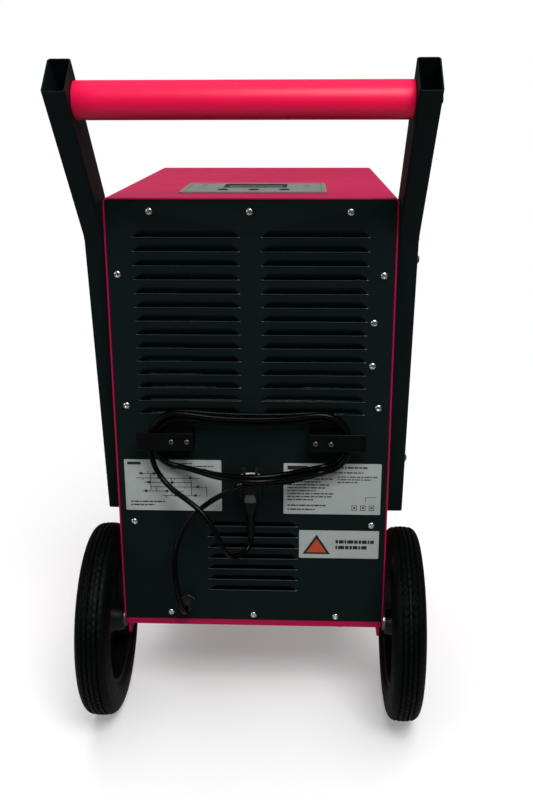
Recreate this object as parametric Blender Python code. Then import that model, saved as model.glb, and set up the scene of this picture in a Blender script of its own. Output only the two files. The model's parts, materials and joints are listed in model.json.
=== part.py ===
"""Commercial dehumidifier on two wheels, modelled as separate pieces.

Metres, +Z up, floor at Z = 0, X = 0 on the machine's middle plane.
The louvred rear panel and the push bar face -Y, the air intake and the water tank face +Y.
"""
import math

import bmesh
import bpy
from mathutils import Matrix, Vector

# ---------------------------------------------------------------- driving dimensions
CABINET_WIDTH = 0.425
CABINET_DEPTH = 0.600
CABINET_TOP = 0.850
SHEET = 0.0015
GAP = 0.0003
RIM_PROUD = 0.001

WHEEL_RADIUS = 0.157
WHEEL_WIDTH = 0.053
WHEEL_INNER_X = 0.217
AXLE_RADIUS = 0.008
AXLE_SETBACK = 0.020

POST_WIDTH = 0.030
POST_DEPTH = 0.060
POST_WALL = 0.002
POST_LOWER_LEAN = math.radians(7.9)
POST_UPPER_LEAN = math.radians(41.7)
POST_UPPER_LENGTH = 0.272
POST_KINK_HEIGHT = 0.790
POST_FOOT_HEIGHT = 0.337
POST_KINK_SETBACK = 0.002

BAR_RADIUS = 0.02415
BAR_UP_THE_POST = 0.232

CORD_RADIUS = 0.0042
TANK_HALF_WIDTH = 0.140
TANK_HEIGHT = 0.180
TANK_DEPTH = 0.276
KEY_TRAVEL = 0.0008

# ---------------------------------------------------------------- worked out from them
HALF_WIDTH = CABINET_WIDTH / 2
POST_REACH = POST_UPPER_LENGTH * math.sin(POST_UPPER_LEAN) - POST_KINK_SETBACK
REAR_Y = (POST_REACH - CABINET_DEPTH - RIM_PROUD) / 2
FRONT_Y = REAR_Y + CABINET_DEPTH
AXLE_Y = REAR_Y + AXLE_SETBACK
PAN_UNDERSIDE = WHEEL_RADIUS + AXLE_RADIUS + 0.001
PAN_TOP = PAN_UNDERSIDE + SHEET
PANEL_BOTTOM = PAN_TOP + GAP
PANEL_TOP = CABINET_TOP - 0.005
PANEL_HALF_WIDTH = HALF_WIDTH - 0.004
POST_INNER_X = HALF_WIDTH + GAP
POST_OUTER_X = POST_INNER_X + POST_WIDTH
RIVET_HOLE = 0.0045
TANK_BOTTOM = PAN_TOP + 0.0006

MATERIALS = {
    "red paint": ((0.50, 0.012, 0.045), 0.42, 0.0),
    "grey paint": ((0.032, 0.044, 0.050), 0.55, 0.0),
    "rubber": ((0.012, 0.013, 0.014), 0.85, 0.0),
    "black plastic": ((0.008, 0.008, 0.009), 0.50, 0.0),
    "zinc": ((0.62, 0.62, 0.60), 0.30, 1.0),
    "steel": ((0.35, 0.35, 0.35), 0.35, 1.0),
    "aluminium": ((0.72, 0.73, 0.74), 0.40, 1.0),
    "copper": ((0.72, 0.30, 0.16), 0.30, 1.0),
    "membrane": ((0.45, 0.46, 0.47), 0.50, 0.0),
    "dark window": ((0.01, 0.012, 0.014), 0.15, 0.0),
    "board green": ((0.02, 0.15, 0.06), 0.60, 0.0),
    "clear plastic": ((0.55, 0.60, 0.62), 0.25, 0.0),
}


# ---------------------------------------------------------------- helpers
def clear_scene():
    for existing in list(bpy.data.objects):
        bpy.data.objects.remove(existing, do_unlink=True)


def material(name):
    """The named Principled material, made once."""
    found = bpy.data.materials.get(name)
    if found:
        return found
    colour, roughness, metallic = MATERIALS[name]
    made = bpy.data.materials.new(name)
    made.use_nodes = True
    shader = made.node_tree.nodes["Principled BSDF"]
    shader.inputs["Base Color"].default_value = (*colour, 1.0)
    shader.inputs["Roughness"].default_value = roughness
    shader.inputs["Metallic"].default_value = metallic
    return made


def add_object(name, data, material_name, location=(0, 0, 0)):
    made = bpy.data.objects.new(name, data)
    made.location = location
    data.materials.append(material(material_name))
    bpy.context.scene.collection.objects.link(made)
    return made


def finish_mesh(name, builder, material_name, location=(0, 0, 0), smooth_angle=35):
    """Turn a bmesh into an object with outward faces, smooth where its faces meet gently."""
    bmesh.ops.remove_doubles(builder, verts=builder.verts, dist=1e-6)
    bmesh.ops.dissolve_degenerate(builder, edges=builder.edges, dist=1e-7)
    bmesh.ops.recalc_face_normals(builder, faces=builder.faces)
    mesh = bpy.data.meshes.new(name)
    builder.to_mesh(mesh)
    builder.free()
    mesh.shade_smooth()
    mesh.set_sharp_from_angle(angle=math.radians(smooth_angle))
    return add_object(name, mesh, material_name, location)


def loft(name, loops, material_name, ring=False, location=(0, 0, 0), smooth_angle=35):
    """Skin equal-length closed loops, with both ends capped or, for a ring, joined."""
    builder = bmesh.new()
    rows = [[builder.verts.new(point) for point in loop] for loop in loops]
    pairs = list(zip(rows, rows[1:]))
    if ring:
        pairs.append((rows[-1], rows[0]))
    for low, high in pairs:
        for here in range(len(low)):
            after = (here + 1) % len(low)
            builder.faces.new((low[here], low[after], high[after], high[here]))
    if not ring:
        builder.faces.new(rows[0])
        builder.faces.new(rows[-1])
    return finish_mesh(name, builder, material_name, location, smooth_angle)


def extrude_outline(name, points, travel, material_name, location=(0, 0, 0), smooth_angle=35):
    """A prism: a closed outline of 3-D points carried along a travel vector."""
    far = [Vector(point) + Vector(travel) for point in points]
    return loft(name, [points, far], material_name, False, location, smooth_angle)


def box(name, size, centre, material_name, edge=0.0):
    """A box by its full size and centre, with rounded vertical edges when edge is given."""
    outline = rounded_rectangle(size[0], size[1], edge) if edge else rectangle(size[0], size[1])
    loops = [[(x, y, z) for x, y in outline] for z in (-size[2] / 2, size[2] / 2)]
    return loft(name, loops, material_name, location=centre)


def rectangle(width, height):
    return [(sx * width / 2, sy * height / 2) for sx, sy in ((-1, -1), (1, -1), (1, 1), (-1, 1))]


def rounded_rectangle(width, height, radius, steps=3):
    """Points around a rounded rectangle centred on the origin, anticlockwise."""
    points = []
    corners = ((1, 1, 0), (-1, 1, 90), (-1, -1, 180), (1, -1, 270))
    for sx, sy, start in corners:
        centre_x = sx * (width / 2 - radius)
        centre_y = sy * (height / 2 - radius)
        for step in range(steps + 1):
            angle = math.radians(start + 90 * step / steps)
            points.append((centre_x + radius * math.cos(angle), centre_y + radius * math.sin(angle)))
    return points


def circle(radius, steps, centre=(0, 0)):
    turn = 2 * math.pi / steps
    return [(centre[0] + radius * math.cos(turn * i), centre[1] + radius * math.sin(turn * i))
            for i in range(steps)]


def lathe(name, profile, axis, centre, material_name, steps=24, closed=False, smooth_angle=35):
    """Spin a profile of (distance along the axis, radius) pairs about an axis through centre."""
    places = {
        "X": lambda along, radius: (along, 0, -radius),
        "Y": lambda along, radius: (radius, along, 0),
        "Z": lambda along, radius: (radius, 0, along),
    }
    directions = {"X": (1, 0, 0), "Y": (0, 1, 0), "Z": (0, 0, 1)}
    builder = bmesh.new()
    verts = [builder.verts.new(places[axis](along, radius)) for along, radius in profile]
    ends = zip(verts, verts[1:] + verts[:1]) if closed else zip(verts, verts[1:])
    edges = [builder.edges.new(pair) for pair in ends]
    bmesh.ops.spin(builder, geom=verts + edges, cent=(0, 0, 0), axis=directions[axis],
                   angle=2 * math.pi, steps=steps, use_merge=True)
    return finish_mesh(name, builder, material_name, centre, smooth_angle)


def tube(name, points, radius, material_name, sides_level=2):
    """A round tube along a polyline, with both ends closed."""
    curve = bpy.data.curves.new(name, "CURVE")
    curve.dimensions = "3D"
    curve.bevel_depth = radius
    curve.bevel_resolution = sides_level
    curve.use_fill_caps = True
    spline = curve.splines.new("POLY")
    spline.points.add(len(points) - 1)
    for target, point in zip(spline.points, points):
        target.co = (*point, 1)
    spline.use_smooth = True
    return add_object(name, curve, material_name)


def bent_path(corners, radius, steps=4):
    """A polyline whose inner corners are rounded to a bend radius."""
    points = [Vector(corners[0])]
    for before, corner, after in zip(corners, corners[1:], corners[2:]):
        corner = Vector(corner)
        back = (Vector(before) - corner).normalized()
        ahead = (Vector(after) - corner).normalized()
        half_angle = back.angle(ahead) / 2
        reach = radius / math.tan(half_angle)
        centre = corner + (back + ahead).normalized() * radius / math.sin(half_angle)
        first = corner + back * reach - centre
        sweep = math.pi - 2 * half_angle
        spin_axis = back.cross(ahead).normalized()
        for step in range(steps + 1):
            turn = Matrix.Rotation(-sweep * step / steps, 3, spin_axis)
            points.append(centre + turn @ first)
    points.append(Vector(corners[-1]))
    return points


def smooth_path(points, per_span, cyclic=False):
    """A Catmull-Rom line through points, with per_span steps between neighbours."""
    count = len(points)
    spans = count if cyclic else count - 1
    line = []
    for span in range(spans):
        if cyclic:
            around = [Vector(points[(span + shift) % count]) for shift in (-1, 0, 1, 2)]
        else:
            around = [Vector(points[min(max(span + shift, 0), count - 1)]) for shift in (-1, 0, 1, 2)]
        before, start, end, after = around
        for step in range(per_span):
            t = step / per_span
            line.append(0.5 * (2 * start + (end - before) * t
                               + (2 * before - 5 * start + 4 * end - after) * t ** 2
                               + (3 * start - before - 3 * end + after) * t ** 3))
    if not cyclic:
        line.append(Vector(points[-1]))
    return line


def boolean(target, cutter, operation):
    """Add an exact Boolean to target; the cutter is kept as a hidden wire object."""
    step = target.modifiers.new(cutter.name, "BOOLEAN")
    step.object = cutter
    step.operation = operation
    step.solver = "EXACT"
    cutter.display_type = "WIRE"
    cutter.hide_render = True


def cut(target, cutter):
    boolean(target, cutter, "DIFFERENCE")


def weld(target, addition):
    boolean(target, addition, "UNION")


def punched_sheet(name, outline, holes, thickness, place, material_name, louvres=()):
    """A flat sheet with through holes and pressed louvres.

    outline and holes are lists of (u, v); place(u, v, w) gives the 3-D point, w being the
    depth behind the front face.  A louvre is (middle u, slit v, width, height, inset, depth).
    """
    builder = bmesh.new()
    faces_edges = ([], [])

    def add_loop(points):
        rows = []
        for side, depth in enumerate((0.0, thickness)):
            verts = [builder.verts.new(place(u, v, depth)) for u, v in points]
            rows.append(verts)
            for start, end in zip(verts, verts[1:] + verts[:1]):
                faces_edges[side].append(builder.edges.new((start, end)))
        return rows

    def add_wall(rows, here, after):
        front, back = rows
        builder.faces.new((front[here], front[after], back[after], back[here]))

    for points in [outline, *holes]:
        rows = add_loop(points)
        for here in range(len(points)):
            add_wall(rows, here, (here + 1) % len(points))

    for middle, slit, width, height, inset, depth in louvres:
        half, lip = width / 2, 0.0008
        rows = add_loop([
            (middle - half + inset, slit + height), (middle + half - inset, slit + height),
            (middle + half, slit + lip), (middle + half, slit),
            (middle - half, slit), (middle - half, slit + lip)])
        for here, after in ((2, 3), (3, 4), (4, 5)):
            add_wall(rows, here, after)
        hood = []
        for side, (top_left, top_right, right, _, _, left) in enumerate(rows):
            level = depth + side * thickness
            hood_right = builder.verts.new(place(middle + half - inset, slit + lip, level))
            hood_left = builder.verts.new(place(middle - half + inset, slit + lip, level))
            builder.faces.new((top_left, top_right, hood_right, hood_left))
            builder.faces.new((top_right, right, hood_right))
            builder.faces.new((top_left, hood_left, left))
            hood.append((left, hood_left, hood_right, right))
        for front_pair, back_pair in zip(zip(hood[0], hood[0][1:]), zip(hood[1], hood[1][1:])):
            builder.faces.new((front_pair[0], front_pair[1], back_pair[1], back_pair[0]))

    for edges in faces_edges:
        bmesh.ops.triangle_fill(builder, edges=edges, use_beauty=True)
    return finish_mesh(name, builder, material_name, smooth_angle=15)


def rear_view(u, v, w):
    """Sheet coordinates of the rear panel: u across, v up, w forward from its outer face."""
    return (u, REAR_Y + w, v)


def below_panel_top(drop):
    """Height of a point given by its drop below the rear panel's top edge."""
    return PANEL_TOP - drop


def rear_point(x, out, drop):
    """A point behind the machine: out from the rear panel's face, drop below its top edge."""
    return (x, REAR_Y - out, below_panel_top(drop))


# ---------------------------------------------------------------- casing
SHELL_CORNER = 0.012
HEM_SIDE = 0.0035
HEM_TOP = 0.0045
SHELL_FLANGE = 0.020
PANEL_RECESS = SHEET + GAP
UPSTAND = 0.020
KEY_SETBACK = 0.104
DISPLAY_SETBACK = 0.171
BOLT_DROPS = (0.088, 0.421)


def pan_loop(inset, height):
    """One level of the base pan: the cabinet's outline drawn in by inset."""
    outline = rounded_rectangle(CABINET_WIDTH - 2 * inset, CABINET_DEPTH - 2 * inset,
                                max(0.006 - inset, 0.001))
    middle = (REAR_Y + FRONT_Y) / 2
    return [(x, y + middle, height) for x, y in outline]


def build_base_pan():
    """Floor sheet with a skirt folded down outside and an upstand inside the shell."""
    skirt_bottom = PAN_TOP - 0.010
    upstand_inset = 0.004
    upstand_top = PAN_TOP + UPSTAND
    loops = [
        pan_loop(SHEET, PAN_UNDERSIDE), pan_loop(SHEET, skirt_bottom), pan_loop(0, skirt_bottom),
        pan_loop(0, PAN_TOP), pan_loop(upstand_inset, PAN_TOP), pan_loop(upstand_inset, upstand_top),
        pan_loop(upstand_inset + SHEET, upstand_top), pan_loop(upstand_inset + SHEET, PAN_TOP)]
    pan = loft("base_pan", loops, "red paint")
    notch = lathe("axle_notch_cutter", [(-0.3, 0), (-0.3, AXLE_RADIUS + 0.0008),
                                        (0.3, AXLE_RADIUS + 0.0008), (0.3, 0)],
                  "X", (0, AXLE_Y, WHEEL_RADIUS), "steel", steps=20)
    cut(pan, notch)
    gateway = box("tank_gateway_cutter", (2 * TANK_HALF_WIDTH + 0.004, 0.012, 0.040),
                  (0, FRONT_Y - 0.008, PAN_TOP + 0.020 + 0.0002), "steel")
    cut(pan, gateway)


def shell_path(side_inset, top_inset, corner):
    """Half-hoop from the left foot over the top to the right foot, as (x, z) points."""
    half = HALF_WIDTH - side_inset
    top = CABINET_TOP - top_inset
    points = [(-half, PANEL_BOTTOM)]
    for start, side in ((180, -1), (90, 1)):
        for step in range(5):
            angle = math.radians(start - 90 * step / 4)
            points.append((side * (half - corner) + corner * math.cos(angle),
                           top - corner + corner * math.sin(angle)))
    points.append((half, PANEL_BOTTOM))
    return points


def shell_section(y, outer_inset, inner_side, inner_top):
    """The hoop's cut section at y, outer edge first and inner edge back."""
    outer = shell_path(outer_inset, outer_inset, SHELL_CORNER - outer_inset)
    inner = shell_path(inner_side, inner_top, max(SHELL_CORNER - inner_side, 0.003))
    return [(x, y, z) for x, z in outer + inner[::-1]]


def build_outer_shell():
    """Top and both sides in one folded sheet, hemmed and flanged round both ends."""
    hem = (HEM_SIDE, HEM_TOP)
    flange = (SHELL_FLANGE, SHELL_FLANGE)
    sheet = (SHEET, SHEET)
    stations = [
        (-RIM_PROUD, 0.0012, hem), (-0.0002, 0.0003, hem), (0.0010, 0.0, hem),
        (PANEL_RECESS, 0.0, hem), (PANEL_RECESS, 0.0, flange),
        (PANEL_RECESS + SHEET, 0.0, flange), (PANEL_RECESS + SHEET, 0.0, sheet)]
    loops = [shell_section(REAR_Y + ahead, inset, *inner) for ahead, inset, inner in stations]
    loops += [shell_section(FRONT_Y - ahead, inset, *inner) for ahead, inset, inner in stations[::-1]]
    shell = loft("outer_shell", loops, "red paint")
    window = box("control_opening_cutter", (0.140, 0.124, 0.04),
                 (0, REAR_Y + 0.150, CABINET_TOP), "steel")
    cut(shell, window)
    for index, drop in enumerate(BOLT_DROPS):
        y, z = post_bolt_place(drop)
        drill = lathe(f"shell_drill_{index}", [(-0.3, 0), (-0.3, RIVET_HOLE), (0.3, RIVET_HOLE), (0.3, 0)],
                      "X", (0, y, z), "steel", steps=12)
        cut(shell, drill)


LOUVRE_INSET = 0.009
LOUVRE_DEPTH = 0.007
GLAND_PLACE = (-0.106, 0.642)
GLAND_HOLE = 0.0083


def panel_outline(bottom_edge=()):
    """A panel's edge: square at the bottom, its top corners rounded to fit the shell."""
    corner = 0.010
    points = [(-PANEL_HALF_WIDTH, PANEL_BOTTOM), *bottom_edge, (PANEL_HALF_WIDTH, PANEL_BOTTOM)]
    for start, side in ((0, 1), (90, -1)):
        for step in range(5):
            angle = math.radians(start + 90 * step / 4)
            points.append((side * (PANEL_HALF_WIDTH - corner) + corner * math.cos(angle),
                           PANEL_TOP - corner + corner * math.sin(angle)))
    return points


def build_rear_panel():
    """Air outlet panel: two columns of louvres, a lower grille and the gland's hole."""
    louvres = []
    for row in range(14):
        slit = below_panel_top(0.0512 + 0.0207 * row)
        for middle in (-0.094, 0.094):
            louvres.append((middle, slit, 0.158, 0.010, LOUVRE_INSET, LOUVRE_DEPTH))
    for row in range(7):
        slit = below_panel_top(0.5085 + 0.0190 * row)
        louvres.append((0.0, slit, 0.145, 0.0085, LOUVRE_INSET, LOUVRE_DEPTH))
    gland_x, gland_drop = GLAND_PLACE
    gland_hole = circle(GLAND_HOLE, 16, (gland_x, below_panel_top(gland_drop)))
    punched_sheet("rear_panel", panel_outline(), [gland_hole], SHEET, rear_view, "grey paint", louvres)


FILTER_WIDTH = 0.330
FILTER_HEIGHT = 0.390
FILTER_MIDDLE = 0.605
FILTER_THICKNESS = 0.014


def rectangle_at(width, height, middle, radius):
    return [(x + middle[0], y + middle[1]) for x, y in rounded_rectangle(width, height, radius, 2)]


def build_front_panel():
    """Intake side: an opening for the filter cassette and a gateway for the water tank."""
    filter_hole = rectangle_at(FILTER_WIDTH + 0.003, FILTER_HEIGHT + 0.003, (0, FILTER_MIDDLE), 0.008)
    half, top = TANK_HALF_WIDTH + 0.0015, TANK_BOTTOM + TANK_HEIGHT + 0.0015
    gateway = [(-half, PANEL_BOTTOM), (-half, top), (half, top), (half, PANEL_BOTTOM)]
    punched_sheet("front_panel", panel_outline(gateway), [filter_hole], SHEET,
                  lambda u, v, w: (u, FRONT_Y - w, v), "red paint")


# ---------------------------------------------------------------- posts and push bar
POST_CORNER = 0.004


def lean_axes(lean):
    """Direction up a leaning tube, and across its depth towards the front."""
    return Vector((0, -math.sin(lean), math.cos(lean))), Vector((0, math.cos(lean), math.sin(lean)))


def post_kink():
    return Vector((0, REAR_Y + POST_KINK_SETBACK, POST_KINK_HEIGHT))


def post_bolt_place(drop):
    """Middle of the post's lower run at a given drop, as (y, z)."""
    height = below_panel_top(drop)
    rear_edge = REAR_Y + POST_KINK_SETBACK + (POST_KINK_HEIGHT - height) * math.tan(POST_LOWER_LEAN)
    return rear_edge + POST_DEPTH / 2 / math.cos(POST_LOWER_LEAN), height


def bar_place():
    """Middle of the push bar as (y, z)."""
    up, ahead = lean_axes(POST_UPPER_LEAN)
    middle = post_kink() + up * BAR_UP_THE_POST + ahead * POST_DEPTH / 2
    return middle.y, middle.z


def post_loop(side, edge_point, depth_axis, shrink):
    """The tube's outline where it crosses a plane through edge_point along depth_axis."""
    outline = rounded_rectangle(POST_WIDTH - 2 * shrink, POST_DEPTH - 2 * shrink,
                                POST_CORNER - shrink)
    middle = Vector((side * (POST_INNER_X + POST_WIDTH / 2), 0, 0)) + edge_point
    return [middle + Vector((x, 0, 0)) + depth_axis * (y + POST_DEPTH / 2) for x, y in outline]


def build_posts():
    """Two rectangular tubes, mitred where they lean back above the cabinet's shoulder."""
    low_up, low_ahead = lean_axes(POST_LOWER_LEAN)
    high_up, high_ahead = lean_axes(POST_UPPER_LEAN)
    mitre = (low_ahead + high_ahead).normalized()
    mitre = mitre / mitre.dot(low_ahead)
    kink = post_kink()
    foot = kink - low_up * (POST_KINK_HEIGHT - POST_FOOT_HEIGHT) / math.cos(POST_LOWER_LEAN)
    head = kink + high_up * POST_UPPER_LENGTH
    stages = [(foot, low_ahead), (kink, mitre), (head, high_ahead)]
    drill_places = [post_bolt_place(drop) for drop in BOLT_DROPS] + [bar_place()]
    for side, label in ((-1, "left"), (1, "right")):
        loops = [post_loop(side, point, axis, 0) for point, axis in stages]
        loops += [post_loop(side, point, axis, POST_WALL) for point, axis in stages[::-1]]
        post = loft(f"{label}_post", loops, "grey paint", ring=True)
        for index, (y, z) in enumerate(drill_places):
            drill = lathe(f"{label}_post_drill_{index}",
                          [(-0.03, 0), (-0.03, RIVET_HOLE), (0.03, RIVET_HOLE), (0.03, 0)], "X",
                          (side * (POST_INNER_X + POST_WIDTH / 2), y, z), "steel", steps=12)
            cut(post, drill)


def domed_bolt(name, side, tip_x, place):
    """A dome-head bolt pointing inward along X, its head resting on the post's outer face."""
    shank = 0.0040
    seat = POST_OUTER_X + GAP
    profile = [(tip_x, 0), (tip_x, shank), (seat, shank), (seat, 0.0080), (seat + 0.0020, 0.0078),
               (seat + 0.0040, 0.0058), (seat + 0.0052, 0)]
    lathe(name, [(side * along, radius) for along, radius in profile], "X", (0, *place), "zinc",
          steps=16)


def build_bar_and_bolts():
    """Push bar with closed ends, and the six bolts that hold it and the posts."""
    half = POST_INNER_X - GAP
    end_wall, wall, hole = 0.003, 0.0025, RIVET_HOLE
    inner = BAR_RADIUS - wall
    profile = [(-half, hole), (-half, BAR_RADIUS), (half, BAR_RADIUS), (half, hole),
               (half - end_wall, hole), (half - end_wall, inner),
               (-half + end_wall, inner), (-half + end_wall, hole)]
    lathe("handle_bar", profile, "X", (0, *bar_place()), "red paint", steps=28, closed=True)
    for side, label in ((-1, "left"), (1, "right")):
        domed_bolt(f"bar_bolt_{label}", side, POST_INNER_X - 0.018, bar_place())
        for position, drop in zip(("upper", "lower"), BOLT_DROPS):
            domed_bolt(f"post_bolt_{label}_{position}", side, HALF_WIDTH - 0.006,
                       post_bolt_place(drop))


# ---------------------------------------------------------------- wheels and feet
WHEEL_STEPS = 28
TYRE_SEAT = 0.1042
RIM_SEAT = 0.1038
BORE_RADIUS = AXLE_RADIUS + 0.0005
AXLE_END_X = WHEEL_INNER_X + WHEEL_WIDTH + 0.006
LEG_X = 0.160
LEG_SETBACK = 0.080


def tyre_profile():
    """Closed section of the ribbed tyre: sidewalls, shoulders and five tread ribs."""
    left = [(-0.0185, TYRE_SEAT), (-0.0242, 0.1120), (-0.0265, 0.1280), (-0.0250, 0.1430),
            (-0.0215, 0.1510), (-0.0170, 0.1545)]
    tread = []
    for middle, crown in ((-0.0115, 0.1558), (-0.0038, 0.1567), (0.0038, 0.1567), (0.0115, 0.1558)):
        tread += [(middle - 0.0014, crown), (middle, crown - 0.0028), (middle + 0.0014, crown)]
    right = [(-along, radius) for along, radius in left[::-1]]
    tread.insert(6, (0.0, WHEEL_RADIUS))
    return left + tread + right


def rim_profile():
    """Closed section of the steel rim: seat, outboard disc and a hub as wide as the tyre."""
    half = WHEEL_WIDTH / 2
    return [(-0.0185, RIM_SEAT), (0.0185, RIM_SEAT), (0.0185, 0.1008), (0.0070, 0.0975),
            (0.0060, 0.0330), (half, 0.0200), (half, BORE_RADIUS), (-half, BORE_RADIUS),
            (-half, 0.0200), (0.0020, 0.0330), (0.0035, 0.0975), (-0.0185, 0.1008)]


def build_wheels():
    """Axle across the machine, and at each end a washer, rim, tyre and push-on cap."""
    lathe("wheel_axle", [(-AXLE_END_X, 0), (-AXLE_END_X, AXLE_RADIUS), (AXLE_END_X, AXLE_RADIUS),
                         (AXLE_END_X, 0)], "X", (0, AXLE_Y, WHEEL_RADIUS), "zinc", steps=20)
    middle_x = WHEEL_INNER_X + WHEEL_WIDTH / 2
    washer_inner = HALF_WIDTH + 0.0006
    washer_outer = WHEEL_INNER_X - 0.0006
    washer = [(washer_inner, BORE_RADIUS), (washer_inner, 0.0150),
              (washer_outer, 0.0150), (washer_outer, BORE_RADIUS)]
    cap_inner = WHEEL_INNER_X + WHEEL_WIDTH + 0.0006
    cap = [(AXLE_END_X + 0.0005, 0), (AXLE_END_X + 0.0005, BORE_RADIUS), (cap_inner, BORE_RADIUS),
           (cap_inner, 0.0130), (AXLE_END_X - 0.0005, 0.0130), (AXLE_END_X + 0.0020, 0.0100),
           (AXLE_END_X + 0.0030, 0)]
    for side, label in ((-1, "left"), (1, "right")):
        centre = (side * middle_x, AXLE_Y, WHEEL_RADIUS)
        axle_centre = (0, AXLE_Y, WHEEL_RADIUS)
        lathe(f"rim_{label}", [(side * x, r) for x, r in rim_profile()], "X", centre, "grey paint",
              steps=WHEEL_STEPS, closed=True)
        lathe(f"tyre_{label}", [(side * x, r) for x, r in tyre_profile()], "X", centre, "rubber",
              steps=WHEEL_STEPS, closed=True)
        lathe(f"axle_washer_{label}", [(side * x, r) for x, r in washer], "X", axle_centre, "zinc",
              steps=20, closed=True)
        lathe(f"hub_cap_{label}", [(side * x, r) for x, r in cap], "X", axle_centre, "zinc", steps=20)
        build_axle_bracket(side, label)


def build_axle_bracket(side, label):
    """Saddle plate under the pan that carries the axle in a half-round seat."""
    seat = AXLE_RADIUS + 0.0004
    top = PAN_UNDERSIDE - GAP
    rear_reach = AXLE_SETBACK - SHEET - 0.001
    outline = [(-rear_reach, top), (-seat, top)]
    for step in range(7):
        angle = math.pi + math.pi * step / 6
        outline.append((seat * math.cos(angle), WHEEL_RADIUS + seat * math.sin(angle)))
    outline += [(seat, top), (0.045, top), (0.045, 0.156), (0.017, 0.140), (-rear_reach, 0.140)]
    inner_x, thickness = HALF_WIDTH - SHEET - 0.0080, 0.004
    points = [(side * inner_x, AXLE_Y + u, v) for u, v in outline]
    extrude_outline(f"axle_bracket_{label}", points, (side * thickness, 0, 0), "red paint")


def build_front_feet():
    """Two tube legs with mounting discs under the pan, standing in rubber ferrules."""
    plate_top = PAN_UNDERSIDE - GAP
    leg = [(0.0055, 0), (0.0055, 0.0125), (plate_top - 0.003, 0.0125), (plate_top - 0.003, 0.030),
           (plate_top, 0.030), (plate_top, 0)]
    ferrule = [(0, 0), (0, 0.0185), (0.004, 0.0195), (0.027, 0.0165), (0.030, 0.0150),
               (0.030, 0.0129), (0.0052, 0.0129), (0.0052, 0)]
    for side, label in ((-1, "left"), (1, "right")):
        place = (side * LEG_X, FRONT_Y - LEG_SETBACK, 0)
        lathe(f"front_leg_{label}", leg, "Z", place, "grey paint", steps=20)
        lathe(f"rubber_foot_{label}", ferrule, "Z", place, "rubber", steps=20)


# ---------------------------------------------------------------- controls on the top
KEY_XS = {"left": -0.047, "middle": 0.0, "right": 0.047}
DISPLAY_SIZE = (0.100, 0.068)
PLATE_UNDERSIDE = CABINET_TOP + GAP


def build_controls():
    """Control plate with a display window and three short-travel keys over the control board."""
    key_hole = 0.0084
    holes = [rectangle_at(*DISPLAY_SIZE, (0, REAR_Y + DISPLAY_SETBACK), 0.003)]
    holes += [circle(key_hole, 16, (x, REAR_Y + KEY_SETBACK)) for x in KEY_XS.values()]
    plate_outline = rectangle_at(0.222, 0.160, (0, REAR_Y + 0.145), 0.006)
    punched_sheet("control_plate", plate_outline, holes, SHEET,
                  lambda u, v, w: (u, v, PLATE_UNDERSIDE + w), "membrane")
    box("display_window", (DISPLAY_SIZE[0] - 0.0008, DISPLAY_SIZE[1] - 0.0008, 0.002),
        (0, REAR_Y + DISPLAY_SETBACK, PLATE_UNDERSIDE + 0.0003), "dark window", edge=0.0026)
    flange_top = PLATE_UNDERSIDE - 0.0004
    key = [(flange_top - 0.0075, 0), (flange_top - 0.0075, 0.0040), (flange_top - 0.0012, 0.0040),
           (flange_top - 0.0012, 0.0096), (flange_top, 0.0096), (flange_top, 0.0080),
           (flange_top + 0.0026, 0.0080), (flange_top + 0.0030, 0.0072), (flange_top + 0.0030, 0)]
    for label, x in KEY_XS.items():
        lathe(f"key_{label}", key, "Z", (x, REAR_Y + KEY_SETBACK, 0), "black plastic", steps=16)
    board_top = flange_top - 0.0075 - KEY_TRAVEL - 0.0004
    box("control_board", (0.150, 0.112, 0.0016), (0, REAR_Y + 0.150, board_top - 0.0008), "board green")


# ---------------------------------------------------------------- mains side
GLAND_LENGTH = 0.028
HOOK_DROP = 0.356
PLUG_PLACE = (-0.0015, 0.0215)
PLUG_CABLE_DROP = 0.5148
WINDING_RADIUS = 0.0100

WINDING = [
    (-0.100, 0.0155, 0.3165), (0.000, 0.0155, 0.3255), (0.098, 0.0155, 0.3185),
    (0.132, 0.0155, 0.3270), (0.146, 0.0155, 0.3450), (0.1475, 0.0155, 0.3700),
    (0.137, 0.0155, 0.3920), (0.104, 0.0200, 0.4050), (0.042, 0.0535, 0.4040),
    (-0.045, 0.0535, 0.4080), (-0.108, 0.0200, 0.4075), (-0.143, 0.0155, 0.3930),
    (-0.156, 0.0155, 0.3700), (-0.154, 0.0155, 0.3440), (-0.138, 0.0155, 0.3240)]
GLAND_TAIL = [
    (-0.1060, 0.0285, 0.6420), (-0.1061, 0.0375, 0.6412), (-0.1068, 0.0465, 0.6375),
    (-0.1085, 0.0545, 0.6290), (-0.1108, 0.0600, 0.6150), (-0.1143, 0.0618, 0.5941),
    (-0.1180, 0.0580, 0.5640), (-0.1176, 0.0494, 0.5324), (-0.1103, 0.0408, 0.5062),
    (-0.0977, 0.0353, 0.4848), (-0.0803, 0.0353, 0.4654), (-0.0610, 0.0390, 0.4490),
    (-0.0500, 0.0440, 0.4310)]
PLUG_TAIL = [
    (-0.1490, 0.0190, 0.4095), (-0.1400, 0.0220, 0.4190), (-0.1270, 0.0300, 0.4290),
    (-0.1080, 0.0400, 0.4400), (-0.0912, 0.0478, 0.4500), (-0.0714, 0.0557, 0.4650),
    (-0.0553, 0.0623, 0.4867), (-0.0446, 0.0643, 0.5094), (-0.0379, 0.0606, 0.5243),
    (-0.0314, 0.0541, 0.5340), (-0.0239, 0.0460, 0.5385), (-0.0155, 0.0368, 0.5390),
    (-0.0078, 0.0284, 0.5352), (-0.0023, 0.0223, 0.5260), (-0.0015, 0.0215, 0.5156)]


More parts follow.
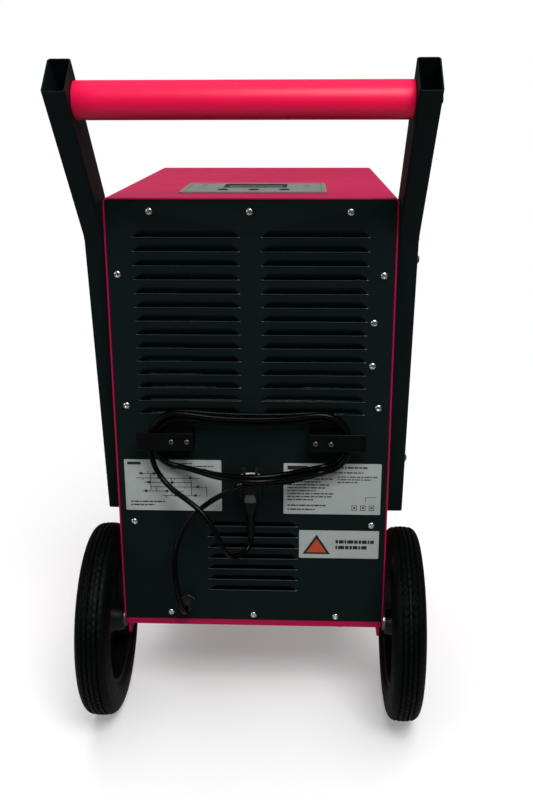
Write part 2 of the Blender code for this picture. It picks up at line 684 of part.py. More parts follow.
def build_cable_gland():
    """Clamping gland through the rear panel, bored for the cord."""
    bore = CORD_RADIUS + 0.0004
    profile = [(0.011, bore), (0.011, 0.0080), (-GAP, 0.0080), (-GAP, 0.0125), (-0.007, 0.0125),
               (-0.007, 0.0108), (-0.019, 0.0108), (-0.025, 0.0085), (-GLAND_LENGTH, 0.0062),
               (-GLAND_LENGTH, bore)]
    gland_x, gland_drop = GLAND_PLACE
    lathe("cable_gland", profile, "Y", (gland_x, REAR_Y, below_panel_top(gland_drop)),
          "black plastic", steps=16, closed=True)


def build_cord():
    """The loose ends as tubes and the turns round the hooks as one solid hank."""
    tail = smooth_path([rear_point(*point) for point in GLAND_TAIL], 3)
    tube("cord_from_gland", tail, CORD_RADIUS, "rubber", 1)
    tail = smooth_path([rear_point(*point) for point in PLUG_TAIL], 3)
    tube("cord_to_plug", tail, CORD_RADIUS, "rubber", 1)
    ring = smooth_path([rear_point(*point) for point in WINDING], 4, cyclic=True)
    loops = []
    for index, point in enumerate(ring):
        along = (ring[(index + 1) % len(ring)] - ring[index - 1]).normalized()
        outward = along.cross(Vector((0, 1, 0))).normalized()
        level = outward.cross(along)
        loops.append([point + WINDING_RADIUS * (outward * u + level * v) for u, v in circle(1, 8)])
    loft("cord_winding", loops, "rubber", ring=True, smooth_angle=60)


def build_plug():
    """Round earthed plug hanging cable end down, its two pins pointing up."""
    profile = [(0, 0), (0, 0.0056), (0.040, 0.0072), (0.048, 0.0110), (0.058, 0.0118),
               (0.062, 0.0165), (0.076, 0.0172), (0.080, 0.0194), (0.098, 0.0194), (0.098, 0)]
    base = rear_point(*PLUG_PLACE, PLUG_CABLE_DROP)
    plug = lathe("mains_plug", profile, "Z", base, "black plastic", steps=20)
    for side in (-1, 1):
        pin = lathe(f"plug_pin_{side + 2}", [(0.090, 0), (0.090, 0.0024), (0.1145, 0.0024), (0.1165, 0)],
                    "Z", (base[0] + side * 0.0095, base[1], base[2]), "zinc", steps=12)
        weld(plug, pin)


def build_cord_hooks():
    """Blocks screwed to the panel, each with a plate reaching outward over the cord."""
    root, web, lip, stand, face = 0.0875, 0.1335, 0.1745, 0.0272, 0.0302
    outline = [(root, GAP), (web, GAP), (web, stand), (lip, stand), (lip, face), (root, face)]
    height = 0.028
    for side, label in ((-1, "left"), (1, "right")):
        points = [rear_point(side * x, out, HOOK_DROP + height / 2) for x, out in outline]
        extrude_outline(f"cord_hook_{label}", points, (0, 0, height), "black plastic")


def build_electrical_box():
    """Box open towards the rear panel, holding the motor's run capacitor."""
    width, height, wall = 0.110, 0.158, 0.002
    middle_x, middle_z = -0.140, PAN_TOP + GAP + height / 2
    loops = []
    for ahead, thin in ((0.150, 0), (0.012, 0), (0.012, wall), (0.150 - wall, wall)):
        outline = rectangle(width - 2 * thin, height - 2 * thin)
        loops.append([(middle_x + x, REAR_Y + ahead, middle_z + z) for x, z in outline])
    loft("electrical_box", loops, "grey paint")
    capacitor = [(-0.042, 0), (-0.042, 0.017), (-0.040, 0.019), (0.040, 0.019), (0.042, 0.017), (0.042, 0)]
    lathe("run_capacitor", capacitor, "X", (middle_x, REAR_Y + 0.085, middle_z + 0.045), "aluminium",
          steps=20)


# ---------------------------------------------------------------- refrigeration
COMPRESSOR_X = 0.060
COMPRESSOR_SETBACK = 0.150
COMPRESSOR_RADIUS = 0.074
COMPRESSOR_FLOOR = PAN_TOP + 0.012
COIL_HALF_WIDTH = 0.175
COIL_BOTTOM = 0.391
COIL_TOP = 0.805
CONDENSER_SETBACK = (0.455, 0.497)
EVAPORATOR_SETBACK = (0.515, 0.557)
PIPE_X = 0.1985


def build_compressor():
    """Hermetic compressor on a round foot plate, held on three rubber mounts."""
    radius, foot = COMPRESSOR_RADIUS, 0.0030
    profile = [(0, 0), (0, 0.088), (foot, 0.088), (foot, 0.060), (0.014, radius), (0.092, radius),
               (0.092, radius + 0.003), (0.097, radius + 0.003), (0.097, radius),
               (0.150, radius - 0.002), (0.170, radius - 0.020), (0.178, 0.025), (0.180, 0)]
    centre = (COMPRESSOR_X, REAR_Y + COMPRESSOR_SETBACK, COMPRESSOR_FLOOR)
    lathe("compressor", profile, "Z", centre, "black plastic", steps=28)
    mount = [(0, 0), (0, 0.012), (0.0114, 0.010), (0.0114, 0)]
    for index in range(3):
        angle = math.radians(90 + 120 * index)
        place = (centre[0] + 0.072 * math.cos(angle), centre[1] + 0.072 * math.sin(angle), PAN_TOP + GAP)
        lathe(f"compressor_mount_{index + 1}", mount, "Z", place, "rubber", steps=14)


def fin_block(name, setbacks, fins):
    """A coil block as a comb of upright fins on a solid middle, both faces ribbed."""
    front, back = REAR_Y + setbacks[0], REAR_Y + setbacks[1]
    pitch = 2 * COIL_HALF_WIDTH / fins
    thickness, groove = pitch * 0.4, 0.012
    outline = []
    for face, inward, order in ((front, 1, range(fins)), (back, -1, reversed(range(fins)))):
        for fin in order:
            start = -COIL_HALF_WIDTH + fin * pitch
            xs = (start, start + thickness, start + thickness, start + pitch)
            ys = (face, face, face + inward * groove, face + inward * groove)
            run = list(zip(xs, ys))
            outline += run if inward == 1 else run[::-1]
    points = [(x, y, COIL_BOTTOM) for x, y in outline]
    extrude_outline(name, points, (0, 0, COIL_TOP - COIL_BOTTOM), "aluminium", smooth_angle=10)


def build_coils_and_pipes():
    """Condenser and evaporator blocks and the three refrigerant lines."""
    fin_block("condenser", CONDENSER_SETBACK, 18)
    fin_block("evaporator", EVAPORATOR_SETBACK, 18)
    compressor_y = REAR_Y + COMPRESSOR_SETBACK
    condenser_y = REAR_Y + sum(CONDENSER_SETBACK) / 2
    evaporator_y = REAR_Y + sum(EVAPORATOR_SETBACK) / 2
    port = COMPRESSOR_RADIUS + 0.0015
    coil_side = COIL_HALF_WIDTH + 0.0006
    suction = [
        (COMPRESSOR_X + port, compressor_y, 0.300), (0.170, compressor_y, 0.300),
        (0.170, evaporator_y - 0.030, 0.300), (PIPE_X, evaporator_y, 0.320),
        (PIPE_X, evaporator_y, 0.700), (coil_side, evaporator_y, 0.700)]
    discharge = [
        (COMPRESSOR_X, compressor_y + port, 0.255), (COMPRESSOR_X, compressor_y + 0.125, 0.255),
        (PIPE_X, compressor_y + 0.125, 0.255), (PIPE_X, condenser_y, 0.275),
        (PIPE_X, condenser_y, 0.730), (coil_side, condenser_y, 0.730)]
    liquid = [
        (-coil_side, condenser_y, 0.440), (-PIPE_X, condenser_y, 0.440),
        (-PIPE_X, condenser_y, 0.560), (-PIPE_X, evaporator_y, 0.600),
        (-PIPE_X, evaporator_y, 0.660), (-coil_side, evaporator_y, 0.660)]
    tube("suction_line", bent_path(suction, 0.010), 0.0048, "copper", 1)
    tube("discharge_line", bent_path(discharge, 0.010), 0.0040, "copper", 1)
    tube("liquid_line", bent_path(liquid, 0.010), 0.0032, "copper", 1)


FAN_HEIGHT = 0.600
FAN_SETBACK = 0.300
FAN_RADIUS = 0.148
RING_RADIUS = 0.156
MOTOR_RADIUS = 0.048


def build_fan():
    """Axial fan, its motor, and the shroud plate whose four arms carry the motor."""
    centre = (0, REAR_Y + FAN_SETBACK, FAN_HEIGHT)
    shaft, shaft_tip = 0.0050, -0.0097
    motor = [(shaft_tip, 0), (shaft_tip, shaft), (0.046, shaft), (0.046, 0.030),
             (0.050, MOTOR_RADIUS), (0.118, MOTOR_RADIUS), (0.124, 0.038), (0.124, 0)]
    lathe("fan_motor", motor, "Y", centre, "black plastic", steps=24)

    hub = lathe("fan_blade", [(-0.022, 0), (-0.022, 0.036), (-0.014, 0.042), (0.024, 0.042),
                              (0.024, 0.036), (-0.010, 0.034), (-0.010, 0)],
                "Y", centre, "black plastic", steps=20)
    blade_count = 5
    for index in range(blade_count):
        turn = Matrix.Rotation(2 * math.pi * index / blade_count, 3, "Y")
        loops = []
        for radius, half_chord, pitch in ((0.039, 0.020, 42), (0.095, 0.036, 30), (FAN_RADIUS, 0.046, 22)):
            slope = math.radians(pitch)
            along = Vector((math.cos(slope), math.sin(slope), 0))
            across = Vector((-math.sin(slope), math.cos(slope), 0)) * 0.0013
            middle = Vector((0, 0, radius))
            corners = ((-1, -1), (1, -1), (1, 1), (-1, 1))
            loops.append([turn @ (middle + along * half_chord * u + across * v) for u, v in corners])
        blade = loft(f"blade_{index}", loops, "black plastic", location=centre)
        weld(hub, blade)

    plate_outline = rectangle_at(0.420, 0.453, (0, 0.6020), 0.004)
    plate = punched_sheet("fan_shroud", plate_outline, [circle(RING_RADIUS, 32, (0, FAN_HEIGHT))],
                          SHEET, lambda u, v, w: (u, centre[1] + 0.030 + w, v), "zinc")
    for index in range(4):
        angle = math.radians(45 + 90 * index)
        build_motor_arm(plate, index, angle, centre)


def build_motor_arm(plate, index, angle, centre):
    """One bent arm: forward from the shroud plate, then inward to the motor's side."""
    inner, outer, back, front = MOTOR_RADIUS + 0.0004, 0.172, 0.0310, 0.075
    width, thick = 0.012, 0.003
    outline = [(outer, back), (outer, front), (inner, front), (inner, front - thick),
               (outer - thick, front - thick), (outer - thick, back)]
    turn = Matrix.Rotation(-angle, 3, "Y")
    points = [Vector(centre) + turn @ Vector((radius, ahead, -width / 2)) for radius, ahead in outline]
    arm = extrude_outline(f"motor_arm_{index}", points, turn @ Vector((0, 0, width)), "zinc")
    weld(plate, arm)


def build_air_filter():
    """Filter cassette: a frame with cross bars in front of the evaporator."""
    columns, rows, bar, rim = 4, 5, 0.005, 0.012
    cell_width = (FILTER_WIDTH - 2 * rim - (columns - 1) * bar) / columns
    cell_height = (FILTER_HEIGHT - 2 * rim - (rows - 1) * bar) / rows
    holes = []
    for column in range(columns):
        for row in range(rows):
            middle = (-FILTER_WIDTH / 2 + rim + cell_width / 2 + column * (cell_width + bar),
                      FILTER_MIDDLE - FILTER_HEIGHT / 2 + rim + cell_height / 2
                      + row * (cell_height + bar))
            holes.append([(x + middle[0], y + middle[1]) for x, y in rectangle(cell_width, cell_height)])
    outline = rectangle_at(FILTER_WIDTH, FILTER_HEIGHT, (0, FILTER_MIDDLE), 0.007)
    punched_sheet("air_filter", outline, holes, FILTER_THICKNESS,
                  lambda u, v, w: (u, FRONT_Y + 0.001 - w, v), "black plastic")


# ---------------------------------------------------------------- condensate
def build_drip_tray():
    """Tray under both coils with a spout over the tank."""
    near, far = REAR_Y + 0.448, REAR_Y + 0.572
    half, floor, wall, lip = 0.184, COIL_BOTTOM - SHEET - GAP, SHEET, 0.022
    loops = []
    for thin, height in ((0, floor), (0, floor + lip), (wall, floor + lip), (wall, floor + wall)):
        outline = rectangle(2 * (half - thin), far - near - 2 * thin)
        loops.append([(x, (near + far) / 2 + y, height) for x, y in outline])
    tray = loft("drip_tray", loops, "aluminium")
    spout_centre = (0, REAR_Y + 0.506, floor)
    spout = lathe("spout", [(-0.020, 0), (-0.020, 0.009), (0.0010, 0.009), (0.0010, 0)],
                  "Z", spout_centre, "aluminium", steps=16)
    weld(tray, spout)
    drain = lathe("drain_cutter", [(-0.03, 0), (-0.03, 0.0072), (0.004, 0.0072), (0.004, 0)],
                  "Z", spout_centre, "steel", steps=16)
    cut(tray, drain)


def build_mid_shelf():
    """Shelf between the fan chamber and the compressor room, its sides folded down."""
    half, top, fold = HALF_WIDTH - SHEET - 0.0005, 0.3745, 0.015
    outline = [(-half, top), (half, top), (half, top - fold), (half - SHEET, top - fold),
               (half - SHEET, top - SHEET), (-half + SHEET, top - SHEET),
               (-half + SHEET, top - fold), (-half, top - fold)]
    points = [(x, REAR_Y + 0.020, z) for x, z in outline]
    extrude_outline("mid_shelf", points, (0, 0.420, 0), "zinc")


def build_tank():
    """Open-topped tank that slides out at the front, with a float on a hinge inside."""
    wall = 0.003
    rear, front = FRONT_Y - TANK_DEPTH, FRONT_Y - 0.0005
    loops = []
    for thin, height in ((0, 0), (0, TANK_HEIGHT), (wall, TANK_HEIGHT), (wall, wall)):
        outline = rectangle(2 * (TANK_HALF_WIDTH - thin), front - rear - 2 * thin)
        loops.append([(x, (rear + front) / 2 + y, TANK_BOTTOM + height) for x, y in outline])
    tank = loft("water_tank", loops, "clear plastic")
    grip = box("grip_cutter", (0.110, 0.03, 0.028), (0, front, TANK_BOTTOM + 0.150), "steel")
    cut(tank, grip)
    return rear + wall


def build_float(tank_rear_inside):
    """Float on an arm, turning about a pin across the tank's rear wall."""
    pivot = (0.095, tank_rear_inside + 0.008, TANK_BOTTOM + 0.125)
    pin = lathe("tank_float", [(-0.012, 0), (-0.012, 0.004), (0.012, 0.004), (0.012, 0)], "X", pivot,
                "black plastic", steps=12)
    arm = box("float_arm", (0.006, 0.078, 0.004), (pivot[0], pivot[1] + 0.040, pivot[2]), "black plastic")
    weld(pin, arm)
    ball = lathe("float_body", [(-0.014, 0), (-0.014, 0.014), (0.014, 0.014), (0.014, 0)], "Z",
                 (pivot[0], pivot[1] + 0.082, pivot[2] - 0.004), "black plastic", steps=16)
    weld(pin, ball)


def main():
    clear_scene()
    build_base_pan()
    build_outer_shell()
    build_rear_panel()
    build_front_panel()
    build_posts()
    build_bar_and_bolts()
    build_wheels()
    build_front_feet()
    build_controls()
    build_cable_gland()
    build_cord()
    build_plug()
    build_cord_hooks()
    build_electrical_box()
    build_compressor()
    build_coils_and_pipes()
    build_fan()
    build_air_filter()
    build_drip_tray()
    build_mid_shelf()
    build_float(build_tank())


main()
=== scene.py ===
"""Finished look of the wheeled dehumidifier: surfaces, fittings and the real cord over its CAD frame.

Metres, +Z up.  The louvred panel and the push bar face -Y, the filter and the tank face +Y.
Tables that go through mm() are in millimetres.
"""
import json
import math

import bmesh
import bpy
from mathutils import Matrix, Vector


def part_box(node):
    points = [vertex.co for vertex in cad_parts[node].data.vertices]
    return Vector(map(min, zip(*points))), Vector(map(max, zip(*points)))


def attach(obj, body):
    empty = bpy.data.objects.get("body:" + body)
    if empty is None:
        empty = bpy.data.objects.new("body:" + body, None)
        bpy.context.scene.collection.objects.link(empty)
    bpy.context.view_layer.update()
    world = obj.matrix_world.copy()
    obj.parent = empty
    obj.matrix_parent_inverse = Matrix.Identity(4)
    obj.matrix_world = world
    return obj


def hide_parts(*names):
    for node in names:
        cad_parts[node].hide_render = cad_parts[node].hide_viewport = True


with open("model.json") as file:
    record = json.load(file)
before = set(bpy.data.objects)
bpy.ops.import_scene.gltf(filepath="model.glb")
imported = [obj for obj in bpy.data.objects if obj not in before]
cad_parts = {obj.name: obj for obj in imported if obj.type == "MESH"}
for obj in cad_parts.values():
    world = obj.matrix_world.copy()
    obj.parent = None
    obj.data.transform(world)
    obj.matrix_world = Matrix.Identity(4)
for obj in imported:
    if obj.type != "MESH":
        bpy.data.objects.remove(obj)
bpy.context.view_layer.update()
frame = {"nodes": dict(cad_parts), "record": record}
nodes = frame["nodes"]

panel_low, panel_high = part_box("rear_panel")
shell_low, shell_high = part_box("outer_shell")
pan_low, pan_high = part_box("base_pan")
REAR_Y, PANEL_TOP = panel_low.y, panel_high.z
FRONT_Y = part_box("front_panel")[1].y
CABINET_TOP, HALF_WIDTH = shell_high.z, shell_high.x
GAP, SHEET = 0.0003, 0.0015
CORD_DIAMETER = 0.0084
SIDES = ((-1, "left"), (1, "right"))
bpy.context.scene.view_settings.view_transform = "Standard"


def mm(*rows):
    """Rows of millimetres as tuples of metres."""
    return [tuple(value / 1000 for value in row) for row in rows]


# ---------------------------------------------------------------- camera, floor and light
FOCAL_LENGTH, SENSOR = 42.39, 36.0
CAMERA_X, CAMERA_BEHIND, CAMERA_ABOVE = 0.0767, 1.3632, 0.1415
CAMERA_TURNS = ((2.27, "Z"), (-17.83, "X"), (0.17, "Y"), (90, "X"))
ROOM_LIGHT, BACKDROP = 0.15, 1.0
FLOOR_BOUNCE, FLOOR_SEEN = 0.50, 1.0
FLOOR_REACH, FLOOR_DROP = 14, 0.0005
FADE_FROM, FADE_TO, FADE_LEAST = 0.6, 2.4, 0.25


def linked(name, data):
    """A new object in the scene."""
    made = bpy.data.objects.new(name, data)
    bpy.context.scene.collection.objects.link(made)
    return made


def add_light(name, place, target, size, power, mirrored=True):
    lamp = bpy.data.lights.new(name, "AREA")
    lamp.shape, lamp.energy = "RECTANGLE", power
    lamp.size = lamp.size_y = size
    made = linked(name, lamp)
    made.location = place
    made.rotation_euler = (Vector(target) - made.location).to_track_quat("-Z", "Y").to_euler()
    made.visible_glossy = mirrored


def add_node(tree, kind, inputs=(), **settings):
    """A shader node with its settings, each input given a value or linked to a socket."""
    made = tree.nodes.new(kind)
    for label, value in settings.items():
        setattr(made, label, value)
    for label, value in dict(inputs).items():
        if hasattr(value, "is_linked"):
            tree.links.new(value, made.inputs[label])
        else:
            made.inputs[label].default_value = value
    return made


def remap(tree, field, low, high, out_low, out_high):
    """field remapped from low..high to out_low..out_high, clamped."""
    made = add_node(tree, "ShaderNodeMapRange", {
        "Value": field, "From Min": low, "From Max": high, "To Min": out_low, "To Max": out_high})
    return made.outputs["Result"]


def build_stage():
    """Camera where a standing person sees the back, a pale floor, and soft boxes above."""
    lens = bpy.data.cameras.new("camera")
    lens.lens, lens.sensor_width = FOCAL_LENGTH, SENSOR
    camera = linked("camera", lens)
    camera.location = (CAMERA_X, REAR_Y - CAMERA_BEHIND, PANEL_TOP + CAMERA_ABOVE)
    turn = Matrix.Identity(3)
    for degrees, axis in CAMERA_TURNS:
        turn = turn @ Matrix.Rotation(math.radians(degrees), 3, axis)
    camera.rotation_euler = turn.to_euler()
    bpy.context.scene.camera = camera

    world = bpy.data.worlds.new("studio")
    world.use_nodes = True
    tree = world.node_tree
    tree.nodes["Background"].inputs["Color"].default_value = (1, 1, 1, 1)
    sight = add_node(tree, "ShaderNodeLightPath").outputs["Is Camera Ray"]
    tree.links.new(remap(tree, sight, 0, 1, ROOM_LIGHT, BACKDROP), tree.nodes["Background"].inputs["Strength"])
    bpy.context.scene.world = world

    floor_mesh = bpy.data.meshes.new("floor")
    builder = bmesh.new()
    bmesh.ops.create_grid(builder, x_segments=2, y_segments=2, size=FLOOR_REACH)
    builder.to_mesh(floor_mesh)
    builder.free()
    floor = linked("floor", floor_mesh)
    floor.location.z = -FLOOR_DROP
    paint = bpy.data.materials.new("pale_floor")
    paint.use_nodes = True
    tree = paint.node_tree
    shader = tree.nodes["Principled BSDF"]
    shader.inputs["Roughness"].default_value = 0.8
    shader.inputs["Specular IOR Level"].default_value = 0.1
    sight = add_node(tree, "ShaderNodeLightPath").outputs["Is Camera Ray"]
    tree.links.new(remap(tree, sight, 0, 1, FLOOR_BOUNCE, FLOOR_SEEN), shader.inputs["Base Color"])
    glow = add_node(tree, "ShaderNodeEmission", {"Strength": sight})
    place = add_node(tree, "ShaderNodeTexCoord").outputs["Object"]
    reach = add_node(tree, "ShaderNodeVectorMath", {0: place}, operation="LENGTH").outputs["Value"]
    blend = add_node(tree, "ShaderNodeMixShader", {
        "Fac": remap(tree, reach, FADE_FROM, FADE_TO, FADE_LEAST, 1.0),
        1: shader.outputs["BSDF"], 2: glow.outputs["Emission"]})
    tree.links.new(blend.outputs["Shader"], tree.nodes["Material Output"].inputs["Surface"])
    floor_mesh.materials.append(paint)

    add_light("key", (0.55, -1.9, 2.5), (0, -0.25, 0.75), 1.2, 58)
    add_light("fill", (-2.0, -1.6, 1.2), (0, 0, 0.5), 1.2, 8)
    add_light("top", (0.2, 0.0, 3.4), (0, 0, 0.6), 3.2, 66, False)
    add_light("back", (-0.8, 2.6, 2.2), (0, 0.2, 0.5), 1.6, 34, False)
    add_light("back_low", (1.6, 2.2, 0.9), (0, 0.2, 0.5), 1.2, 10, False)


build_stage()


# ---------------------------------------------------------------- surfaces
def scaled(colour, factor, lift=0.0):
    return tuple(factor * channel + lift for channel in colour)


class Surface:
    """A Principled material, with the few node patterns that finish it.

    Patterns read object coordinates, which are metres in the machine's own frame.
    """

    def __init__(self, name, colour, roughness, metallic=0.0, **sockets):
        self.made = bpy.data.materials.new(name)
        self.made.use_nodes = True
        self.tree = self.made.node_tree
        self.shader = self.tree.nodes["Principled BSDF"]
        self.colour = colour
        sockets.update(Base_Color=(*colour, 1), Roughness=roughness, Metallic=metallic)
        for label, value in sockets.items():
            self.shader.inputs[label.replace("_", " ")].default_value = value
        self.place = add_node(self.tree, "ShaderNodeTexCoord").outputs["Object"]

    def pattern(self, kind, output, size, stretch=(1, 1, 1), **inputs):
        """A texture whose features are about size metres across."""
        place = self.place
        if stretch != (1, 1, 1):
            values = {"Vector": place, "Scale": stretch}
            place = add_node(self.tree, "ShaderNodeMapping", values).outputs["Vector"]
        return add_node(self.tree, kind, {"Vector": place, "Scale": 1 / size, **inputs}).outputs[output]

    def cloud(self, size, detail, stretch=(1, 1, 1)):
        return self.pattern("ShaderNodeTexNoise", "Fac", size, stretch, Detail=detail)

    def cells(self, size, stretch=(1, 1, 1)):
        return self.pattern("ShaderNodeTexVoronoi", "Distance", size, stretch)

    def stripes(self, pitch, distortion):
        """Ridges a pitch apart along X."""
        return self.pattern("ShaderNodeTexWave", "Fac", pitch * 10 / math.pi, Distortion=distortion)

    def band(self, field, low, high, out_low=0.0, out_high=1.0):
        return remap(self.tree, field, low, high, out_low, out_high)

    def tint(self, mask, colour):
        """Lay another colour where mask is 1."""
        socket = self.shader.inputs["Base Color"]
        below = socket.links[0].from_socket if socket.is_linked else (*self.colour, 1)
        made = add_node(self.tree, "ShaderNodeMix", {0: mask, 6: below, 7: (*colour, 1)}, data_type="RGBA")
        self.tree.links.new(made.outputs[2], socket)

    def stain(self, size, detail, low, high, colour, amount=1.0):
        """Lay another colour in cloudy patches."""
        self.tint(self.band(self.cloud(size, detail), low, high, 0, amount), colour)

    def specks(self, size, reach, amount, colour, stretch=(1, 1, 1)):
        """Lay another colour in small dots."""
        self.tint(self.band(self.cells(size, stretch), 0, reach, amount, 0), colour)

    def gloss(self, field, low, high):
        """Roughness running from low to high with a 0..1 field."""
        self.tree.links.new(self.band(field, 0, 1, low, high), self.shader.inputs["Roughness"])

    def relief(self, field, height, strength):
        """Bump of the given height in metres, added to any bump already there."""
        socket = self.shader.inputs["Normal"]
        values = {"Height": field, "Distance": height, "Strength": strength}
        if socket.is_linked:
            values["Normal"] = socket.links[0].from_socket
        self.tree.links.new(add_node(self.tree, "ShaderNodeBump", values).outputs["Normal"], socket)


def powder_coat(name, colour, low, high, specular, shade, lift):
    """Satin powder coat: orange peel, faint cloudiness, dust specks and dulled patches."""
    skin = Surface(name, colour, low, Specular_IOR_Level=specular)
    skin.stain(0.09, 5, 0.35, 0.75, scaled(colour, shade))
    skin.stain(0.0016, 2, 0.60, 0.85, scaled(colour, lift), 0.5)
    skin.specks(0.011, 0.045, 0.55, scaled(colour, 0.5, 0.05))
    skin.gloss(skin.cloud(0.035, 6), low, high)
    skin.relief(skin.cloud(0.0022, 3), 0.00006, 0.55)
    skin.relief(skin.cloud(0.16, 2), 0.0006, 0.06)
    return skin.made


def moulded(name, colour, roughness, grain=0.0011, **sockets):
    """Injection-moulded plastic with a fine spark grain and handling marks."""
    skin = Surface(name, colour, roughness, **sockets)
    skin.stain(0.02, 4, 0.4, 0.8, scaled(colour, 1.8, 0.0008))
    skin.gloss(skin.cloud(0.008, 5), roughness - 0.12, roughness + 0.14)
    skin.relief(skin.cells(grain), 0.00005, 0.5)
    return skin.made


def plated(name, colour, low, high, brush=(1, 1, 1)):
    """Bright zinc or steel with fine drawn lines and dull spots."""
    skin = Surface(name, colour, low, 1.0)
    skin.stain(0.004, 5, 0.45, 0.75, scaled(colour, 0.62))
    skin.gloss(skin.cloud(0.003, 6, brush), low, high)
    skin.relief(skin.cloud(0.0008, 3, brush), 0.00003, 0.5)
    return skin.made


def galvanised(name):
    """Zinc-coated sheet with its crystal spangle."""
    skin = Surface(name, (0.52, 0.54, 0.55), 0.38, 1.0)
    spangle = skin.pattern("ShaderNodeTexVoronoi", "Color", 1 / 120)
    grey = add_node(skin.tree, "ShaderNodeRGBToBW", {"Color": spangle}).outputs["Val"]
    skin.tint(skin.band(grey, 0.2, 0.8), (0.36, 0.38, 0.40))
    skin.gloss(grey, 0.28, 0.52)
    skin.relief(skin.cloud(0.002, 4), 0.00003, 0.4)
    return skin.made


def rubber(name, colour, dust, roughness=0.78, specular=0.16):
    """Black rubber with a bloom of pale dust and a pitted skin."""
    skin = Surface(name, colour, roughness, Specular_IOR_Level=specular)
    skin.stain(0.03, 6, 0.48, 0.78, dust, 0.7)
    skin.specks(0.004, 0.12, 0.5, scaled(colour, 0.6))
    skin.gloss(skin.cloud(0.012, 5), roughness - 0.18, roughness + 0.12)
    skin.relief(skin.cloud(0.0011, 4), 0.00012, 0.6)
    return skin.made


def finned(name):
    """Aluminium fin pack: fine upright fin edges with painted shade in the gaps between them, and a film of
    dust.
    """
    skin = Surface(name, (0.60, 0.61, 0.62), 0.42, 1.0)
    fins = skin.stripes(0.0021, 0.6)
    # dark stripes between the fin edges: painted shade in the gaps between the fins
    skin.tint(skin.band(fins, 0.0, 0.55, 0.85, 0.0), (0.05, 0.05, 0.055))
    skin.stain(0.05, 5, 0.5, 0.75, (0.32, 0.31, 0.28), 0.6)
    skin.gloss(skin.cloud(0.006, 5), 0.3, 0.6)
    skin.relief(fins, 0.0006, 0.8)
    return skin.made


def copper(name):
    skin = Surface(name, (0.74, 0.31, 0.17), 0.28, 1.0)
    skin.stain(0.012, 6, 0.45, 0.8, (0.28, 0.10, 0.055))
    skin.gloss(skin.cloud(0.006, 5), 0.2, 0.55)
    skin.relief(skin.cloud(0.0015, 3), 0.00004, 0.4)
    return skin.made


def circuit(name):
    """Green solder mask with tinned pads and darker tracks."""
    skin = Surface(name, (0.012, 0.12, 0.045), 0.35)
    skin.specks(0.006, 0.16, 0.9, (0.55, 0.53, 0.45), (1, 0.6, 1))
    tracks = skin.stripes(0.004, 2.5)
    skin.tint(skin.band(tracks, 0.82, 0.9), (0.006, 0.06, 0.025))
    skin.relief(tracks, 0.00008, 0.5)
    return skin.made


def smoked(name):
    """Translucent tank plastic, slightly clouded, with fine scratches."""
    skin = Surface(name, (0.62, 0.67, 0.70), 0.30, Transmission_Weight=0.35, IOR=1.49)
    skin.stain(0.06, 5, 0.4, 0.75, (0.50, 0.55, 0.58))
    skin.gloss(skin.cloud(0.006, 5), 0.24, 0.46)
    skin.relief(skin.cells(0.0012), 0.00004, 0.4)
    return skin.made


def printed_film(name, colour, roughness):
    """Polycarbonate or paper film: a soft texture and smudges."""
    skin = Surface(name, colour, roughness)
    skin.stain(0.03, 5, 0.42, 0.75, scaled(colour, 0.86))
    skin.gloss(skin.cloud(0.012, 5), roughness - 0.1, roughness + 0.12)
    skin.relief(skin.cells(0.0007), 0.00002, 0.5)
    return skin.made


# One crimson coat in two copies: the lighter push bar copy is painted light on the bar, the darker one painted
# shade on the cabinet.
RED = powder_coat("crimson_powder_coat", (0.44, 0.0034, 0.062), 0.34, 0.50, 0.18, 0.90, 1.10)
LIT_BAR_RED = powder_coat("push_bar_crimson_painted_light", (0.80, 0.0050, 0.062), 0.30, 0.44, 0.24, 0.88, 1.12)
GREY = powder_coat("anthracite_powder_coat", (0.0042, 0.0093, 0.0095), 0.46, 0.62, 0.07, 0.85, 1.4)
TYRE = rubber("tyre_rubber", (0.0010, 0.0015, 0.0016), (0.0028, 0.0034, 0.0034), 0.52, 0.07)
RUBBER = rubber("black_rubber", (0.0060, 0.0062, 0.0066), (0.018, 0.018, 0.018))
CORD_SKIN = rubber("cord_sheath", (0.0004, 0.0006, 0.0007), (0.0010, 0.0012, 0.0012), 0.28, 0.11)
# dark lining for the cabinet's inside: painted shade on its inner faces and floor
SHADE_LINING = rubber("painted_shade_lining", (0.0040, 0.0042, 0.0045), (0.010, 0.010, 0.010), 0.9, 0.05)
BLACK = moulded("black_moulding", (0.0048, 0.0052, 0.0056), 0.40)
HOOK_BLACK = moulded("hook_moulding", (0.0007, 0.0009, 0.0010), 0.36, Specular_IOR_Level=0.12)
PLUG_BLACK = moulded("plug_moulding", (0.0007, 0.0009, 0.0010), 0.38, 0.0007, Specular_IOR_Level=0.16)
GRIP_GREY = moulded("plug_grip", (0.045, 0.062, 0.062), 0.55, 0.0006)
GLOSS_BLACK = moulded("satin_black_enamel", (0.0016, 0.0019, 0.0021), 0.32, 0.003, Specular_IOR_Level=0.22)
MESH_GREY = moulded("filter_mesh_plastic", (0.016, 0.017, 0.018), 0.50)
ZINC = plated("bright_zinc", (0.62, 0.63, 0.62), 0.22, 0.42)
SCREW_ZINC = plated("zinc_screw", (0.74, 0.76, 0.74), 0.16, 0.34)
DARK_SCREW = plated("blackened_screw", (0.16, 0.17, 0.17), 0.24, 0.40)
# lighter metal on the louvre lips: a painted highlight where each curled lip catches the light
LIP_HIGHLIGHT = plated("louvre_lip_painted_highlight", (0.22, 0.25, 0.26), 0.34, 0.50)
